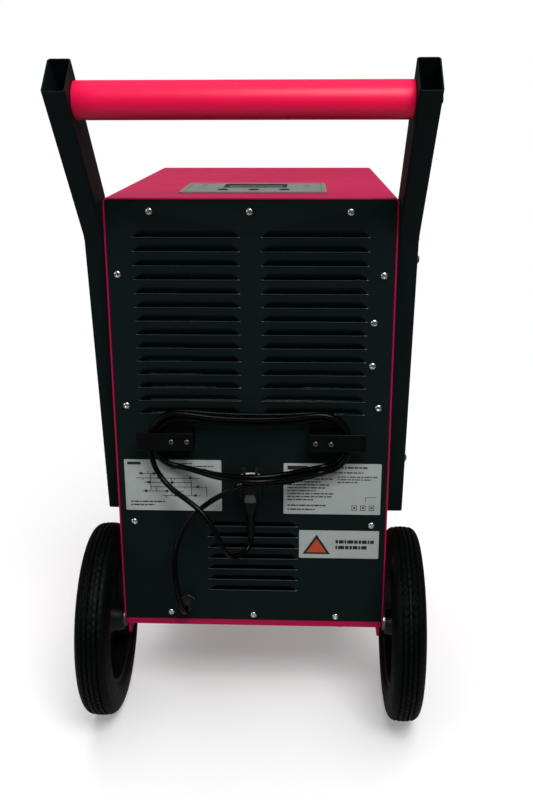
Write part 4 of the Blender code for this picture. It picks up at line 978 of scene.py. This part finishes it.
def build_plates():
    """Wiring plate, rating plate and caution plate, with placeholder lines and no lettering."""
    marks = [(5, 4, 26, 8.5)]
    marks += line_marks(72, 140.2, [5.2, 9.7, 14.2], 1.8, (0.5, 1, 0.86))
    marks += line_marks(8, 62, [70, 75.5], 2.2, (1, 0.7))
    for row, (left, right) in enumerate(((22, 62), (18, 118), (30, 104), (40, 128), (26, 92), (58, 120))):
        drop = 23 + 7.4 * row
        marks.append((left, drop, right, drop + 1))
        for step in range(4):
            x = left + (right - left) * (step + 0.4) / 4
            marks.append((x, drop - 3.4, x + 1, drop) if step % 2 else (x, drop, x + 1, drop + 3.8))
            if step % 2 == row % 2:
                marks.append((x - 2.2, drop - 1.6, x + 2.2, drop + 1.8))
    marks += [(x, low, x + 1.1, high) for x, low, high in (
        (40, 23, 52), (73, 30, 60), (104, 34, 60), (128, 44, 62))]
    build_plate("wiring_plate", -200.5, 396.5, 152.2, 86, marks)

    marks = [(6, 4, 38, 10.8)]
    for x0, x1, drops, thickness, share in (
            (44, 132, [5.2], 2.6, (1,)), (6, 124, [14], 2, (1,)),
            (84, 146, [21.2, 25.7, 30.2], 1.8, (1, 0.86, 0.5)),
            (6, 80, [19.8 + 5 * k for k in range(9)], 2.1,
             (0.76, 0.95, 0.70, 0.88, 0.80, 0.6, 1.0, 0.94, 0.55)),
            (6, 66, [69.6, 76.5], 2.4, (1, 0.72))):
        marks += line_marks(x0, x1, drops, thickness, share)
    for left in (107, 120.5, 134):
        for edge in ((0, 0, 8.5, 1), (0, 8, 8.5, 9), (0, 0, 1, 9), (7.5, 0, 8.5, 9), (2.5, 3, 6, 5.8)):
            marks.append((left + edge[0], 70 + edge[1], left + edge[2], 70 + edge[3]))
    marks += [(128, 56, 146, 56.8), (128, 56, 128.8, 64)]
    build_plate("rating_plate", 49, 400, 152, 85.7, marks)

    build_plate("caution_plate", 74, 514, 126.7, 48.5, line_marks(58, 118.7, [16.5, 26.5], 5.8, (1, 0.82)),
                [[(27.8, 7.4), (5.3, 41.5), (49.7, 41.5)], [(27.8, 14.4), (11.6, 38.4), (43.4, 38.4)]])


# ---------------------------------------------------------------- control film on the top
# left, near, right, far (near and far measured forward from the rear face) and corner radius
FILM_MARKS = [(-104, 72, 104, 72.6, 0.1), (-104, 217.4, 104, 218, 0.1), (-104, 72, -103.4, 218, 0.1),
              (103.4, 72, 104, 218, 0.1)]
FILM_MARKS += [(x - 8 + 5.6 * k, 85.5, x - 3.8 + 5.6 * k, 86.8, 0.2) for x in (-47, 0, 47) for k in range(3)]
FILM_MARKS += [(x - 3.5, 150 + 12 * k, x + 3.5, 152.5 + 12 * k, 1.0) for x in (-82, 82) for k in range(4)]
FILM_MARKS += [(-98 + 6.2 * k, 207, -93.5 + 6.2 * k, 209.5, 0.3) for k in range(5)]
DIGIT_BARS = [(x, y, x + 1.4, y + tall) for x in (0, 12.6) for y, tall in ((12, 12), (0, 11))]
DIGIT_BARS += [(1.6, 22.8, 12.4, 24), (1.6, 11, 12.4, 12.2), (1.6, 0, 12.4, 1.2)]
MARK_HEIGHT = 0.00006


def top_slab(builder, x0, y0, x1, y1, radius, level, thickness, material=0):
    """A flat slab lying on the cabinet top."""
    centre = ((x0 + x1) / 2, REAR_Y + (y0 + y1) / 2, level)
    loops = frames(centre, x1 - x0, y1 - y0, [(0, 0, radius), (thickness, 0, radius)])
    skinned(loops, False, builder, material)


def build_controls():
    """Printed border and marks on the plate, display bezel and lens, and three capped keys."""
    plate_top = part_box("control_plate")[1].z
    builder = bmesh.new()
    for mark in mm(*FILM_MARKS):
        top_slab(builder, *mark, plate_top, MARK_HEIGHT)
    add_piece("control_print", builder, PRINT)

    low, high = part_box("display_window")
    centre = middle_of("display_window")
    loops = []
    for inset_x, inset_y, drop in mm((0, 0, 1.6), (0, 0, 0.3), (0.4, 0.4, 0), (5.8, 7.2, 0), (6.4, 7.8, 0.6),
                                     (6.4, 7.8, 1.6)):
        outline = rounded_rectangle(high.x - low.x - 2 * inset_x, high.y - low.y - 2 * inset_y, 0.0026)
        loops.append([Vector((x, centre.y + y, high.z - drop)) for x, y in outline])
    add_piece("display_bezel", skinned(loops, ring=True), GLOSS_BLACK, stands_for=["display_window"])
    near = low.y - REAR_Y
    builder = bmesh.new()
    top_slab(builder, low.x + 0.0062, near + 0.0076, high.x - 0.0062, high.y - REAR_Y - 0.0076, 0.002,
             high.z - 0.0015, 0.0007)
    for left in (-0.020, 0.002):
        for x0, y0, x1, y1 in mm(*DIGIT_BARS):
            top_slab(builder, left + x0, near + 0.022 + y0, left + x1, near + 0.022 + y1, 0.0003,
                     high.z - 0.0008, MARK_HEIGHT, 1)
    add_piece("display_lens", builder, [LENS, PRINT])

    for label in ("left", "middle", "right"):
        low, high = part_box(f"key_{label}")
        profile = [(low.z, 0.0004), (low.z, 0.0040)]
        profile += [(high.z - drop, reach) for drop, reach in mm(
            (4.2, 4), (4.2, 9.6), (3, 9.6), (3, 8), (0.8, 7.9), (0.2, 7.3), (0, 6.4), (0.3, 4.6), (0.7, 2),
            (0.8, 0.3))]
        add_piece(f"key_cap_{label}", turned(profile, "Z", (*middle_of(f"key_{label}").xy, 0), 48), BLACK,
                  f"{label}_key", [f"key_{label}"], smooth_angle=30)


# ---------------------------------------------------------------- hooks, gland and plug
def build_hooks():
    """Moulded cord hooks: a root block, a web and a long plate, all with soft edges."""
    gap = GAP * 1000
    outline = eased(mm((110, gap), (87.5, gap), (87.5, 30.2), (174.5, 30.2), (174.5, 27.2), (133.5, 27.2),
                       (133.5, gap), (110, gap)), 0.0014, 4)[:-1]
    for side, label in SIDES:
        low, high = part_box(f"cord_hook_{label}")
        loops = [[rear_point(side * x, out, PANEL_TOP - z) for x, out in outline] for z in (low.z, high.z)]
        add_piece(f"cord_hook_moulding_{label}", skinned(loops), HOOK_BLACK, stands_for=[f"cord_hook_{label}"],
                  bevel=0.0012, smooth_angle=40)


def gland_shape(angle, index):
    """Hexagon flats on the gland's base and flutes on its nut."""
    if index in (3, 4, 5, 6):
        return hexagon(angle, 0.0125, 0.90)
    return -0.0007 * (0.5 + 0.5 * math.cos(18 * angle)) if index in (8, 9) else 0.0


def build_gland():
    """Hexagon gland with a ribbed dome nut and a tapered sleeve round the cord."""
    bore = CORD_DIAMETER * 500 + 0.3
    profile = mm((11, bore), (11, 8), (-0.3, 8), (-0.3, 12.4), (-0.8, 12.5), (-6.4, 12.5), (-7, 11.9),
                 (-7.2, 10.8), (-9, 11.2), (-17, 10.8), (-19, 10), (-21.5, 8.8), (-24.5, 7.4), (-26.5, 6.4),
                 (-28, 6), (-28, bore))
    nut = turned(profile, "Y", rear_point(GLAND_X, 0, GLAND_DROP), 72, True, gland_shape)
    return add_piece("gland_nut", nut, BLACK, stands_for=["cable_gland"])


PLUG_X, PLUG_OUT, PLUG_DROP = -0.0015, 0.0215, 0.5148
# along, half width, half depth in millimetres, and how square the section is (2 is round)
PLUG_STAGES = [(0, 4.6, 4.6, 2), (1, 5.4, 5.4, 2)]
for ridge in range(6):
    PLUG_STAGES += [(3 + 5.8 * ridge + along, 5.6 + 0.26 * ridge + swell, 5.6 + 0.26 * ridge + swell, 2)
                    for along, swell in ((0, 0), (2.6, 0.1), (3.1, -0.9), (5.1, -0.9))]
PLUG_STAGES += [
    (40, 7.2, 7.2, 2), (44, 8.6, 8, 2.3), (48, 10.8, 9.6, 2.8), (52, 11.3, 9.8, 3.2), (58.5, 11.8, 10.4, 3.2),
    (61.5, 15, 12.8, 2.8), (64, 16.4, 15, 2.4), (70, 16.9, 16.3, 2.1), (76.5, 17.2, 17, 2), (78, 18.8, 18.6, 2)]
PLUG_STAGES += [(along, reach, reach, 2) for along, reach in (
    (79.5, 19.3), (96, 19.4), (97.4, 19.1), (98, 18.4), (98, 15), (97.2, 14.6))]
PLUG_PIN = mm((96.5, 0.3), (96.5, 2.4), (114.5, 2.4), (115.8, 2), (116.5, 1), (116.6, 0.2))
PLUG_RING = mm((92.5, 19), (92.5, 19.65), (93, 19.8), (97.5, 19.8), (98.8, 19.4), (99.3, 18.6), (99.3, 16.8),
               (98.8, 16.2), (96.6, 16.2))
PLUG_CLIPS = [mm((16.8, -2.6, 85), (19.6, 2.6, 99.2)), mm((15, -2.6, 97.5), (19.2, 2.6, 99.2))]
GRIP_PAD = mm((62.5, 15, 10), (66, 16.3, 9.5), (70, 17, 8.5), (76.5, 17.6, 6.5))


def superellipse(wide, deep, power):
    """Round for power 2, squarer above it."""
    points = []
    for step in range(48):
        c, s = math.cos(math.tau * step / 48), math.sin(math.tau * step / 48)
        points.append((math.copysign(abs(c) ** (2 / power), c) * wide,
                       math.copysign(abs(s) ** (2 / power), s) * deep))
    return points


def build_plug():
    """Moulded earthed plug, cable end down: ribbed relief, waisted grip, round head and pins."""
    base = rear_point(PLUG_X, PLUG_OUT, PLUG_DROP)
    body = skinned([[base + Vector((x, y, along)) / 1000 for x, y in superellipse(wide, deep, power)]
                    for along, wide, deep, power in PLUG_STAGES])
    pins, clips = bmesh.new(), bmesh.new()
    for side in (-1, 1):
        turned(PLUG_PIN, "Z", base + Vector((side * 0.0095, 0, 0)), 24, builder=pins)
        for corners in PLUG_CLIPS:
            low, high = (base + Vector((side * x, y, z)) for x, y, z in corners)
            block(low, high, clips)
    pad = []
    for along, reach, half in GRIP_PAD:
        arc = [half / reach * (step / 4 - 1) for step in range(9)]
        rim = [(reach + 0.0005, angle) for angle in arc] + [(reach - 0.0012, angle) for angle in arc[::-1]]
        pad.append([base + Vector((r * math.sin(angle), -r * math.cos(angle), along)) for r, angle in rim])
    return [add_piece("plug_body", body, PLUG_BLACK, stands_for=["mains_plug"], smooth_angle=38),
            # pins in the dark metal: painted shade
            add_piece("plug_pins", pins, SHADED_PIN_METAL),
            # earth clips and ring in bright matte white: a painted glint on the metal contacts
            add_piece("plug_earth_clips", clips, GLINT_WHITE, bevel=0.0003),
            add_piece("plug_earth_ring", turned(PLUG_RING, "Z", base, closed=True), GLINT_WHITE, smooth_angle=40),
            add_piece("plug_grip_pad", skinned(pad), GRIP_GREY, bevel=0.0005)]


# ---------------------------------------------------------------- front: filter, tank and their fittings
def rod(builder, start, end, radius, sides):
    """A straight wire between two points."""
    start, end = Vector(start), Vector(end)
    along = (end - start).normalized()
    across = along.orthogonal().normalized()
    skinned([circle_about(place, along, across, radius, sides) for place in (start, end)], builder=builder)


def build_filter():
    """Filter cassette: rounded frame and cross bars, a woven mesh, and a pull tab."""
    low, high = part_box("air_filter")
    width, height, middle = high.x - low.x, high.z - low.z, (low.z + high.z) / 2
    rim, bar, front, back = 0.012, 0.005, high.y, low.y
    stages = [(y, inset, max(0.007 - inset, 0.002)) for inset, y in (
        (0.0004, back), (0.0, back + 0.0004), (0.0, front - 0.0014), (0.0014, front),
        (rim - 0.0018, front), (rim, front - 0.0018), (rim, back))]
    builder = skinned(frames((0, 0, middle), width, height, stages, True), ring=True)
    inner_x, inner_z = width / 2 - rim + 0.001, height / 2 - rim + 0.001
    columns, rows = 4, 5
    pitch_x, pitch_z = (width - 2 * rim + bar) / columns, (height - 2 * rim + bar) / rows
    for column in range(1, columns):
        x = -width / 2 + rim + column * pitch_x - bar / 2
        block((x - bar / 2, back + 0.003, middle - inner_z), (x + bar / 2, front - 0.002, middle + inner_z),
              builder)
    for row in range(1, rows):
        z = middle - height / 2 + rim + row * pitch_z - bar / 2
        block((-inner_x, back + 0.0034, z - bar / 2), (inner_x, front - 0.0024, z + bar / 2), builder)
    add_piece("filter_frame", builder, BLACK, "filter", ["air_filter"], bevel=0.0005)

    builder = bmesh.new()
    pitch, wire, plane = 0.0030, 0.00032, back + 0.0022
    for step in range(1, int(2 * inner_x / pitch)):
        x = -inner_x + pitch * step
        rod(builder, (x, plane, middle - inner_z), (x, plane, middle + inner_z), wire, 4)
    for step in range(1, int(2 * inner_z / pitch)):
        z = middle - inner_z + pitch * step
        rod(builder, (-inner_x, plane + 0.0005, z), (inner_x, plane + 0.0005, z), wire, 4)
    add_piece("filter_mesh", builder, MESH_GREY, "filter")

    pull = middle + height / 2 - rim / 2
    stages = [(out - 0.0006, draw, 0.003) for out, draw in ((0.0, 0.0), (0.0006, 0.0), (0.0010, 0.0006))]
    builder = skinned(frames((0, front, pull), 0.060, 0.009, stages, True, 5))
    for step in range(7):
        x = -0.018 + 0.006 * step
        block((x - 0.0008, front, pull - 0.003), (x + 0.0008, front + 0.0009, pull + 0.003), builder)
    add_piece("filter_pull", builder, BLACK, "filter")


GRIP_WIDE, GRIP_TALL, GRIP_CORNER, GRIP_UP = 0.110, 0.028, 0.010, 0.150


def build_tank():
    """Tank with drawn corners, a rolled rim, a grip slot, and printed level ticks on its face."""
    low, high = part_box("water_tank")
    wall, height = 0.003, high.z - low.z
    stages = [(level, inset, corner) for inset, level, corner in (
        (0.0030, 0.0, 0.006), (0.0010, 0.0008, 0.008), (0.0, 0.0030, 0.009), (0.0006, height * 0.5, 0.009),
        (0.0006, height - 0.0080, 0.009), (0.0, height - 0.0072, 0.009), (0.0, height - 0.0008, 0.009),
        (0.0008, height, 0.008), (wall - 0.0004, height, 0.007), (wall, height - 0.0008, 0.006),
        (wall, 0.0060, 0.006), (wall + 0.0016, wall + 0.0006, 0.005), (wall + 0.0040, wall, 0.004))]
    centre = (0, (low.y + high.y) / 2, low.z)
    shell = skinned(frames(centre, high.x - low.x, high.y - low.y, stages, steps=8))
    face = (0, high.y, low.z + GRIP_UP)
    slot = skinned(frames(face, GRIP_WIDE, GRIP_TALL, [(y, 0, GRIP_CORNER) for y in (-0.012, 0.02)], True, 8))
    add_piece("tank_shell", cut(shell, slot), SMOKED, "tank", ["water_tank"], smooth_angle=40)

    builder = bmesh.new()
    for step in range(9):
        long = 0.020 if step % 4 == 0 else 0.011
        z = low.z + 0.020 + 0.0135 * step
        block((0.118 - long, high.y - 0.0008, z - 0.0006), (0.118, high.y, z + 0.0006), builder)
    block((0.1185, high.y - 0.0008, low.z + 0.0194), (0.1193, high.y, low.z + 0.1286), builder)
    add_piece("tank_level_ticks", builder, PRINT, "tank")

    stages = [(out - 0.0004, 0.0001 - grow, GRIP_CORNER + grow) for grow, out in (
        (0.0, -0.0026), (0.0, 0.0), (0.0004, 0.0004), (0.0030, 0.0004), (0.0034, 0.0), (0.0034, -0.0026))]
    add_piece("tank_grip_rim", skinned(frames(face, GRIP_WIDE, GRIP_TALL, stages, True, 8), ring=True), BLACK,
              "tank", smooth_angle=40)


# ---------------------------------------------------------------- working parts inside
FAN_CENTRE = Vector((0, REAR_Y + 0.300, 0.600))
FAN_HUB = mm((-22, 0.4), (-22, 34), (-20, 36.5), (-14, 41.5), (-12, 42), (22, 42), (24, 41), (24, 36),
             (-10, 34), (-10, 0.4))
BLADES, BLADE_ROOT, BLADE_TIP = 5, 0.0385, 0.1475
CHORD_ROOT, CHORD_TIP, TIP_ROUND = 0.020, 0.046, 0.86


def blade_section(share):
    """One section of a blade, share of the way from its root to its tip."""
    grown = share ** 0.8
    chord = CHORD_ROOT + (CHORD_TIP - CHORD_ROOT) * grown
    if share >= TIP_ROUND:
        chord *= math.sqrt(max(0.05, 1 - ((share - TIP_ROUND) / 0.15) ** 2))
    slope = math.radians(42 - 20 * grown)
    along = Vector((math.cos(slope), math.sin(slope), 0))
    across = Vector((-math.sin(slope), math.cos(slope), 0))
    middle = Vector((0, 0, BLADE_ROOT + (BLADE_TIP - BLADE_ROOT) * share))
    loop = []
    for side in (1, -1):
        for k in range(-6, 7):
            u = k / 6 * side
            thick = 0.0013 * math.sqrt(max(0.0, 1 - u * u)) * (1 - 0.3 * share) + 0.00015
            camber = 0.0030 * (1 - u * u) * math.sin(math.pi * min(share + 0.25, 1))
            loop.append(middle + along * chord * u + across * (side * -thick + camber))
    return loop


def build_fan():
    """Smooth swept blades on a plain hub, thinned towards their edges."""
    builder = turned(FAN_HUB, "Y", FAN_CENTRE, 60)
    for index in range(BLADES):
        turn = Matrix.Rotation(math.tau * index / BLADES, 3, "Y")
        skinned([[FAN_CENTRE + turn @ point for point in blade_section(step / 14)] for step in range(15)],
                builder=builder)
    add_piece("fan_rotor", builder, BLACK, "fan", ["fan_blade"], smooth_angle=45)


COMPRESSOR = mm(
    (0, 0.4), (0, 87.2), (0.5, 88), (2.5, 88), (3, 87.2), (3, 64), (5, 60), (9, 65.5), (15, 73.5), (22, 74),
    (90.5, 74), (91.5, 76.6), (92.5, 77), (96.5, 77), (97.5, 76.6), (98.5, 74), (144, 73.2), (154, 70.5),
    (163, 63), (170, 51.5), (175, 37), (178.5, 20), (179.8, 0.4))
RETURN_BEND = mm((0, -9), (6, -8.5), (10.5, 0), (6, 8.5), (0, 9))


def build_internals():
    """The compressor's banded shell, and the return bends of the coils."""
    centre = (*middle_of("compressor").xy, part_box("compressor")[0].z)
    add_piece("compressor_shell", turned(COMPRESSOR, "Z", centre, 72), GLOSS_BLACK, stands_for=["compressor"],
              smooth_angle=32)

    builder = bmesh.new()
    across = Vector((0, 1, 0))
    for side in (-1, 1):
        for label in ("evaporator", "condenser"):
            low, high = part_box(label)
            edge = high.x if side > 0 else low.x
            for row in range(11):
                z = low.z + 0.024 + 0.036 * row
                for column in (0.27, 0.73):
                    y = low.y + (high.y - low.y) * column
                    path = smooth_line([Vector((edge + side * out, y, z + up)) for out, up in RETURN_BEND], 4)
                    ends = [path[0], *path, path[-1]]
                    skinned([circle_about(point, (after - before).normalized(), across, 0.0034, 10)
                             for before, point, after in zip(ends, path, ends[2:])], builder=builder)
    add_piece("coil_return_bends", builder, COPPER)


# ---------------------------------------------------------------- mains cord
# x, distance out and drop of the loose ends; the turns between them are worked out below
CORD_RISE = [
    (-0.1060, 0.0285, 0.6420), (-0.1061, 0.0375, 0.6412), (-0.1068, 0.0465, 0.6375), (-0.1085, 0.0545, 0.6290),
    (-0.1108, 0.0600, 0.6150), (-0.1143, 0.0618, 0.5941), (-0.1180, 0.0580, 0.5640), (-0.1176, 0.0494, 0.5324),
    (-0.1103, 0.0408, 0.5062), (-0.0977, 0.0353, 0.4848), (-0.0803, 0.0353, 0.4654), (-0.0534, 0.0426, 0.4422),
    (-0.0220, 0.0519, 0.4225), (0.0023, 0.0559, 0.4133), (0.0274, 0.0545, 0.4120), (0.0560, 0.0440, 0.4128),
    (0.0800, 0.0275, 0.4132), (0.1020, 0.0150, 0.4120), (0.1250, 0.0088, 0.4058)]
CORD_FALL = [
    (-0.1549, 0.0214, 0.3745), (-0.1488, 0.0222, 0.3985), (-0.1381, 0.0254, 0.4165), (-0.1214, 0.0339, 0.4315),
    (-0.0912, 0.0478, 0.4486), (-0.0714, 0.0557, 0.4639), (-0.0553, 0.0623, 0.4867), (-0.0446, 0.0643, 0.5094),
    (-0.0379, 0.0606, 0.5243), (-0.0314, 0.0541, 0.5340), (-0.0239, 0.0460, 0.5385), (-0.0155, 0.0368, 0.5390),
    (-0.0078, 0.0284, 0.5352), (-0.0023, 0.0223, 0.5260), (-0.0015, 0.0215, 0.5153)]
# each turn's right and left end: middle x, middle drop, radius, distance out
TURN_ENDS = [
    ((0.1040, 0.3630, 0.0465, 0.0060), (-0.1085, 0.3605, 0.0460, 0.0060)),
    ((0.1080, 0.3622, 0.0378, 0.0143), (-0.1090, 0.3638, 0.0382, 0.0143)),
    ((0.1035, 0.3600, 0.0465, 0.0226), (-0.1110, 0.3565, 0.0440, 0.0226))]
TOP_SAGS = (0.0040, 0.0065, 0.0080)
LOWER_BOWS = (0.0420, 0.0470)


def hook_arc(end, start, stop):
    """Points round one hook between two angles, drop measured downward."""
    middle, drop, radius, out = end
    angles = [math.radians(angle) for angle in range(start, stop + 1, 30)]
    return [(middle + radius * math.cos(angle), out, drop - radius * math.sin(angle)) for angle in angles]


def cord_run(start, stop, count, sag, bow):
    """Points between two hooks, hanging by a sag or bowed outward over the plug."""
    points = []
    for step in range(1, count):
        share = step / count
        swell = 1 - (2 * share - 1) ** 2
        x, out, drop = (a + (b - a) * share for a, b in zip(start, stop))
        points.append((x, out + bow * swell ** 1.3, drop + sag * swell))
    return points


def cord_route():
    """The whole route: up from the gland, nearly three times round the hooks, and down to the plug."""
    points = list(CORD_RISE)
    for turn, (right, left) in enumerate(TURN_ENDS):
        last = turn == len(TURN_ENDS) - 1
        right_arc = hook_arc(right, -90 if turn else -30, 90)
        left_arc = hook_arc(left, 90, 180 if last else 270)
        if turn:
            points += cord_run(points[-1], right_arc[0], 8, 0.0, LOWER_BOWS[turn - 1])
        points += right_arc + cord_run(right_arc[-1], left_arc[0], 4, TOP_SAGS[turn], 0.0) + left_arc
    return points + CORD_FALL


def build_cord(on_the_cord):
    """One sheathed cord from the gland, round the hooks and down into the plug."""
    route = smooth_line([rear_point(*point) for point in cord_route()], 6)
    curve = bpy.data.curves.new("mains_cord", "CURVE")
    curve.dimensions, curve.use_fill_caps = "3D", True
    curve.bevel_depth, curve.bevel_resolution = CORD_DIAMETER / 2, 6
    spline = curve.splines.new("POLY")
    spline.points.add(len(route) - 1)
    for target, point in zip(spline.points, route):
        target.co = (*point, 1)
    spline.use_smooth = True
    curve.materials.append(CORD_SKIN)
    cord = linked("mains_cord", curve)
    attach(cord, "machine")
    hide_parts("cord_from_gland", "cord_winding", "cord_to_plug")


# ---------------------------------------------------------------- making it all
build_cord([build_gland(), *build_plug()])
for build in (build_shell, build_panel_sheet, build_posts, build_push_bar, build_wheels, build_feet,
              build_plates, build_controls, build_hooks, build_fasteners, build_filter, build_tank,
              build_fan, build_internals):
    build()
